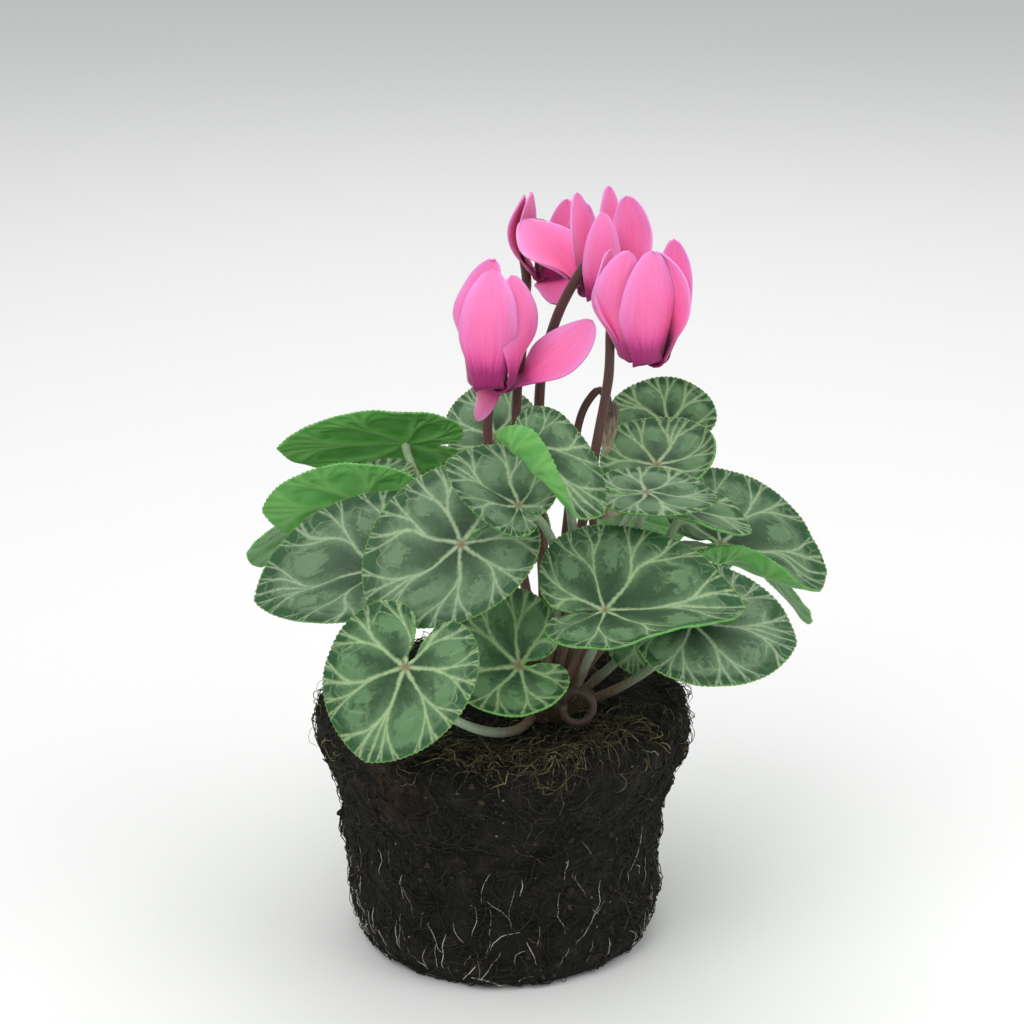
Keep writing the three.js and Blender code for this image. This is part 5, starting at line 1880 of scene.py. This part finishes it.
    def moss(self) -> None:
        """Builds the straw and moss fibres on the top and the shoulder, some of them in tufts."""
        rng = np.random.default_rng(self.seeds[1])
        count = self.fibres
        straw = Strand("dry_moss", {0.0: "#15120b", 0.35: "#332e1c", 0.7: "#5c5538", 1.0: "#9a9069"})
        angle = rng.uniform(0, 2 * math.pi, count)
        travel = rng.uniform(self.shoulder - 12, self.length - 18, count)
        at = np.array(self.tufts)[rng.integers(0, len(self.tufts), count)]
        in_tuft = rng.random(count) < self.tufted
        angle = np.where(in_tuft, np.radians(at[:, 0] + rng.normal(0, at[:, 2], count)), angle)
        travel = np.where(in_tuft, self.shoulder + at[:, 1] - 14 + rng.normal(0, 5.0, count), travel)
        start = beside(angle, travel)
        heading, length = rng.uniform(0, 2 * math.pi, count), rng.uniform(3, 12, count)
        combed = rng.choice([0.5, 0.5 + math.pi], count) + rng.normal(0, 0.55, count)
        heading = np.where(in_tuft, combed, heading)
        length = np.where(in_tuft, length * 1.5, length)
        paths = self.walk(rng, start, heading, length, rng.uniform(0.4, 3.4, count), 0.5, 6)
        thick, shade = rng.uniform(0.09, 0.22, count), rng.beta(2, 2.2, count)
        self.threads("moss_fibres", paths, thick, shade, straw.material())

    def crumbs(self) -> None:
        """Builds loose crumbs: one lump, copied, each copy roughened and sized, and set down all over."""
        rng = np.random.default_rng(self.seeds[2])
        count = self.loose
        bpy.ops.object.select_all(action="DESELECT")
        bpy.ops.mesh.primitive_ico_sphere_add(subdivisions=1, radius=1)
        lump = bpy.context.object
        lump.name = lump.data.name = "peat_crumbs"
        corners = np.array([corner.co for corner in lump.data.vertices])
        faces = np.array([list(face.vertices) for face in lump.data.polygons])
        angle = rng.uniform(0, 2 * math.pi, count)
        travel = rng.uniform(self.flat + 2, self.length - 4, count)
        spot, out = self.surface(angle, travel)
        size = 0.25 + 1.1 * rng.uniform(0, 1, count) ** 3
        shape = corners[None] * rng.uniform(0.6, 1.25, (count, len(corners), 1))
        points = spot[:, None] + out[:, None] * 0.2 * size[:, None, None] + shape * size[:, None, None]
        points[..., 2] = np.maximum(points[..., 2], 0.0)
        mesh = bpy.data.meshes.new("peat_crumbs")
        index = faces[None] + np.arange(count)[:, None, None] * len(corners)
        mesh.from_pydata((points.reshape(-1, 3) * MM).tolist(), [], index.reshape(-1, 3).tolist())
        lump.data = mesh
        shades = np.repeat(rng.beta(1.5, 3, count), len(corners))
        add_facts(lump, {"strand": beside(shades, shades, shades)})
        crumb = Strand("peat_crumb", {0.0: "#090705", 0.5: "#1e1910", 0.85: "#443a23", 1.0: "#877c5b"}, 0.9)
        hand_over(lump, ["root_ball"], [crumb.material()])

    def build(self) -> None:
        """Builds the ball and all that grows on it."""
        self.ball()
        self.roots()
        self.moss()
        self.crumbs()


# ---------------------------------------------------------------- studio


@dataclass(frozen=True)
class Studio:
    """The pale floor, the soft lights and the camera at the photograph's angle. Metres and degrees."""

    floor_size: float = 30.0
    floor_gap: float = 0.0002  # under the root ball, so that the two faces don't flicker
    camera_at: Place = (0.00259, -0.72778, 0.38969)
    pitch: float = 19.0
    lens: float = 88.45
    sensor: float = 36.0
    nearest: float = 0.01
    lights: Sequence[tuple[Place, float, float]] = (  # place, size and watts
        ((-0.5, -0.9, 1.3), 1.1, 12.0),
        ((0.9, -0.5, 0.9), 0.9, 4.0),
        ((0.1, 0.9, 1.2), 1.0, 5.0),
        ((0.0, 0.0, 1.6), 1.2, 4.0),
    )
    target: Place = (0.0, 0.0, 0.11)
    sky: str = "#f4f6f8"
    sky_strength: float = 0.6

    def build(self) -> None:
        """Sets up the scene round the plant."""
        bpy.ops.object.select_all(action="DESELECT")
        bpy.ops.mesh.primitive_plane_add(size=self.floor_size, location=(0, 0, -self.floor_gap))
        floor = bpy.context.object
        floor.name = "floor"
        floor.data.transform(floor.matrix_world)
        floor.matrix_world.identity()
        floor.data.materials.append(PaleFloor().material())
        bpy.ops.object.camera_add(location=self.camera_at, rotation=(math.radians(90 - self.pitch), 0, 0))
        camera = bpy.context.object
        camera.data.lens, camera.data.sensor_width = self.lens, self.sensor
        camera.data.clip_start = self.nearest
        bpy.context.scene.camera = camera
        for at, size, power in self.lights:
            bpy.ops.object.light_add(type="AREA", location=at)
            light = bpy.context.object
            light.data.size, light.data.energy = size, power
            x, y, z = np.array(self.target) - np.array(at)
            light.rotation_euler = (math.atan2(math.hypot(x, y), -z), 0.0, math.atan2(-x, y))
        world = bpy.data.worlds.new("studio")
        bpy.context.scene.world = world
        world.use_nodes = True
        background = world.node_tree.nodes["Background"]
        background.inputs["Color"].default_value = linear(self.sky)
        background.inputs["Strength"].default_value = self.sky_strength
        bpy.context.scene.view_settings.view_transform = "Standard"


# ---------------------------------------------------------------- the plant

# at, size, wide, lean, toward, turn, left, right, tip and back, then the rest by name
LEAVES = (
    Leaf((-12, -43, 144), 33, (0.82, 1.0), 55, -12, -50, (-8, -8), (-8, -8), -5, 5, foot=(7.8, -54),
         tone=0.75),
    Leaf((-27.5, -68, 116), 29, (0.95, 1.15), 50, -20, -12, (-15, -15), (-15, -15), -15, 0, notch=9,
         foot=(16, -12), slope=14, approach=0.15, bow=(0, -4, -9), tone=0.35),
    Leaf((-36, -34, 133), 40, (0.48, 0.85), 48, -15, -72, (-20, -20), (-10, -10), -10, 0, foot=(12.3, -67.5),
         tone=0.85),
    Leaf((4.5, -42, 105.5), 24, (0.92, 1.3), 50, 5, -82, (45, 45), (35, 35), 30, 30, heel=0.95, notch=5,
         foot=(13.2, -34), slope=30, tone=0.25),
    Leaf((4.5, -50, 158), 25, (0.48, 0.8), 55, -10, -118, (10, 10), (18, 18), 10, 10, heel=0.5,
         foot=(7.8, -18),
         bow=(12, 4, 0), tone=0.70),
    Leaf((8, -56, 178), 28, (0.62, 0.95), 50, 15, 36, (15, 15), (215, 180), 0, 0, heel=0.5, foot=(7.8, 18),
         approach=0.12, bow=(11, 10, 9.5), tone=0.55),
    Leaf((29.4, -50, 126), 42, (0.9, 0.42), 40, 5, 92, (0, 0), (40, 380), -12, -5, heel=0.68, foot=(12.3, 45),
         tone=0.45),
    Leaf((55.5, -38, 118), 33, (0.82, 0.78), 45, 15, 74, (0, 0), (0, 0), -10, 10, heel=0.8, foot=(16, 72),
         slope=25, tone=0.80),
    Leaf((42, -3, 102), 16, (0.9, 0.9), 35, 0, -10, (5, 5), (5, 5), -10, 0, foot=(13.6, 90), slope=40,
         tone=0.50),
    Leaf((42, -26, 154), 22, (0.62, 0.52), 22, 5, 88, (10, 10), (-60, -40), -15, 0, foot=(7.8, 54),
         tone=0.75),
    Leaf((53.5, -15.7, 146), 22, (0.75, 0.6), 20, 30, 50, (10, 10), (70, 50), -15, 0, foot=(7.8, 90),
         tone=0.50),
    Leaf((67, 4, 127), 38, (0.95, 0.85), 45, 25, 70, (-5, -5), (190, 110), -12, 0, heel=0.75,
         foot=(12.3, 112.5),
         tone=0.65),
    Leaf((47.5, 14, 149.5), 24, (1.0, 1.0), 20, -10, 165, (45, 45), (45, 45), 10, 0, foot=(7.8, 126),
         tone=0.30),
    Leaf((-43, -9, 144.5), 30, (0.7, 0.75), 72, 175, 88, (-10, -10), (-10, -10), -10, 0, foot=(12.3, -90),
         approach=0.15, tone=0.00),
    Leaf((-30.5, 21, 154.5), 40, (0.45, 0.5), 62, 180, 92, (10, 10), (10, 10), -10, 0, heel=0.7,
         foot=(7.8, -90),
         approach=0.15, tone=0.10),
    Leaf((-38, 8, 144), 18, (0.8, 0.8), 35, -30, -60, (10, 10), (10, 10), -10, 0, foot=(12.3, -112.5),
         tone=0.50),
    Leaf((-2.4, 33.5, 153), 22, (0.9, 0.9), 40, -10, -150, (10, 10), (10, 10), -10, 0, foot=(7.8, -126),
         tone=0.60),
    Leaf((53, 47, 153), 22, (0.9, 0.9), 50, -20, -110, (10, 10), (10, 10), -10, 0, foot=(12.3, 157.5),
         tone=0.30),
    Leaf((-57, 41.5, 127), 36, (0.9, 0.9), 38, -130, 10, (-5, -5), (-5, -5), -15, 0, foot=(12.3, -135),
         tone=0.50),
    Leaf((-12, 58, 120), 38, (0.9, 0.9), 48, 170, -15, (-5, -5), (-5, -5), -15, 0, foot=(12.3, -157.5),
         tone=0.60),
    Leaf((40, 66, 118), 31, (0.9, 0.9), 42, 150, 10, (10, 10), (10, 10), -15, 0, foot=(12.3, 180), tone=0.40),
    Leaf((78, 34, 115), 34, (0.9, 0.9), 45, 110, -10, (-5, -5), (-5, -5), -15, 0, foot=(12.3, 135),
         tone=0.50),
)

# petals: side, lift, arch, twist, length, width and cup
BLOOMS = (
    Bloom(
        mouth=(-3.4, -6, 181), axis=(0.02, 0.1, 1), hook=118, foot=(3.3, -60),
        route=((12, -7, 110), (10, -7, 140), (4.3, -4, 161.5), (4.3, 0, 180.5)),
        petals=(
            Petal(-78, 85, 38, 66, 43, 16, 25),
            Petal(-9, 84, 34, 15, 40, 19, 27),
            Petal(76, 74, 44, -60, 38, 14, 21),
            Petal(98, 22, 38, 44, 35, 18, 24),
            Petal(-165, -44, 0, 75, 22, 9, 15),
        ),
    ),
    Bloom(
        mouth=(41, -18, 193), axis=(0.03, -0.08, 1), hook=-110, foot=(3.3, 40),
        route=((18, -7, 110), (24, -10, 140), (28, -12, 166), (31, -13, 185)),
        petals=(
            Petal(-62, 69, 50, 56, 38, 17, 27),
            Petal(12, 84, 30, 10, 38, 20, 34),
            Petal(86, 73, 60, 64, 38, 15, 15),
            Petal(124, 76, 24, 50, 39, 13, 23),
            Petal(-98, 66, 37, -39, 37, 13, 15),
        ),
    ),
    Bloom(
        mouth=(14, 37, 205), axis=(0.1, -0.36, 1), hook=-100, foot=(3.3, -150),
        route=((6, 10, 115), (-3, 18, 145), (-5, 23, 161), (0.5, 30, 184), (7, 35, 200)),
        petals=(
            Petal(-80, 53, 67, -41, 34, 11, 12),
            Petal(-88, 72, 35, -32, 33, 14, 24),
            Petal(108, 74, 24, 60, 29, 11, 28),
            Petal(10, 10, -80, 0, 12, 12, 20),
            Petal(162, 66, 20, 20, 25, 10, 20),
        ),
    ),
    Bloom(
        mouth=(29, 5, 206), axis=(0.0, 0.1, 1), hook=-8, foot=(3.3, 130),
        route=((13, 2, 115), (11, 4, 150), (11.6, 6.5, 182), (15.8, 5, 198.5), (20, 1, 209), (25, -3, 218)),
        petals=(
            Petal(108, 66, 52, 62, 34, 15, 25),
            Petal(2, 56, 58, 10, 31, 12.5, 30),
            Petal(-120, 45, 1, -12, 33, 29, 19),
            Petal(160, 84, 14, 60, 36, 11, 26),
            Petal(-140, 84, -4, 4, 34, 12, 23),
        ),
    ),
)  # fmt: skip

BUDS = (
    Bud(
        node="nodding_bud", name="bud_that_nods", foot=(7.8, 162), stalk_radius=1.3, radius=3.1,
        route=((17, 4, 110), (20, 4, 140), (23, 3, 167), (25.6, 3, 173.5), (29, 3, 177), (32.3, 3, 173.3)),
        tip=(31.2, 3, 156),
        colours={
            0.0: "#6b4a40", 0.35: "#54362f", 0.62: "#3f2a22", 0.72: "#44342a", 0.84: "#8a7f66", 1.0: "#b3a98c",
        },
    ),
    Bud(
        node="young_bud", name="bud_still_young", foot=(12.3, 22.5), stalk_radius=1.3, radius=2.9,
        route=((25, -20, 105), (27, -20.5, 135), (26.5, -20.5, 146)), tip=(39, -20, 149),
        colours={
            0.0: "#6b4a40", 0.4: "#6a4c3e", 0.64: "#5a4534", 0.72: "#8a7a60", 0.85: "#b0a484", 1.0: "#c0b592",
        },
    ),
)  # fmt: skip


def main() -> None:
    """Builds the plant piece by piece, then the studio."""
    logging.basicConfig(level=logging.INFO, format="%(name)s: %(message)s")
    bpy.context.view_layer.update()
    RootBall().build()
    TUBER.build()
    Foliage(LEAVES).build()
    Flowers(BLOOMS).build()
    for bud in BUDS:
        bud.build()
    CoiledStalk().build()
    Studio().build()
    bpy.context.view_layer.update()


if __name__ == "__main__":
    main()
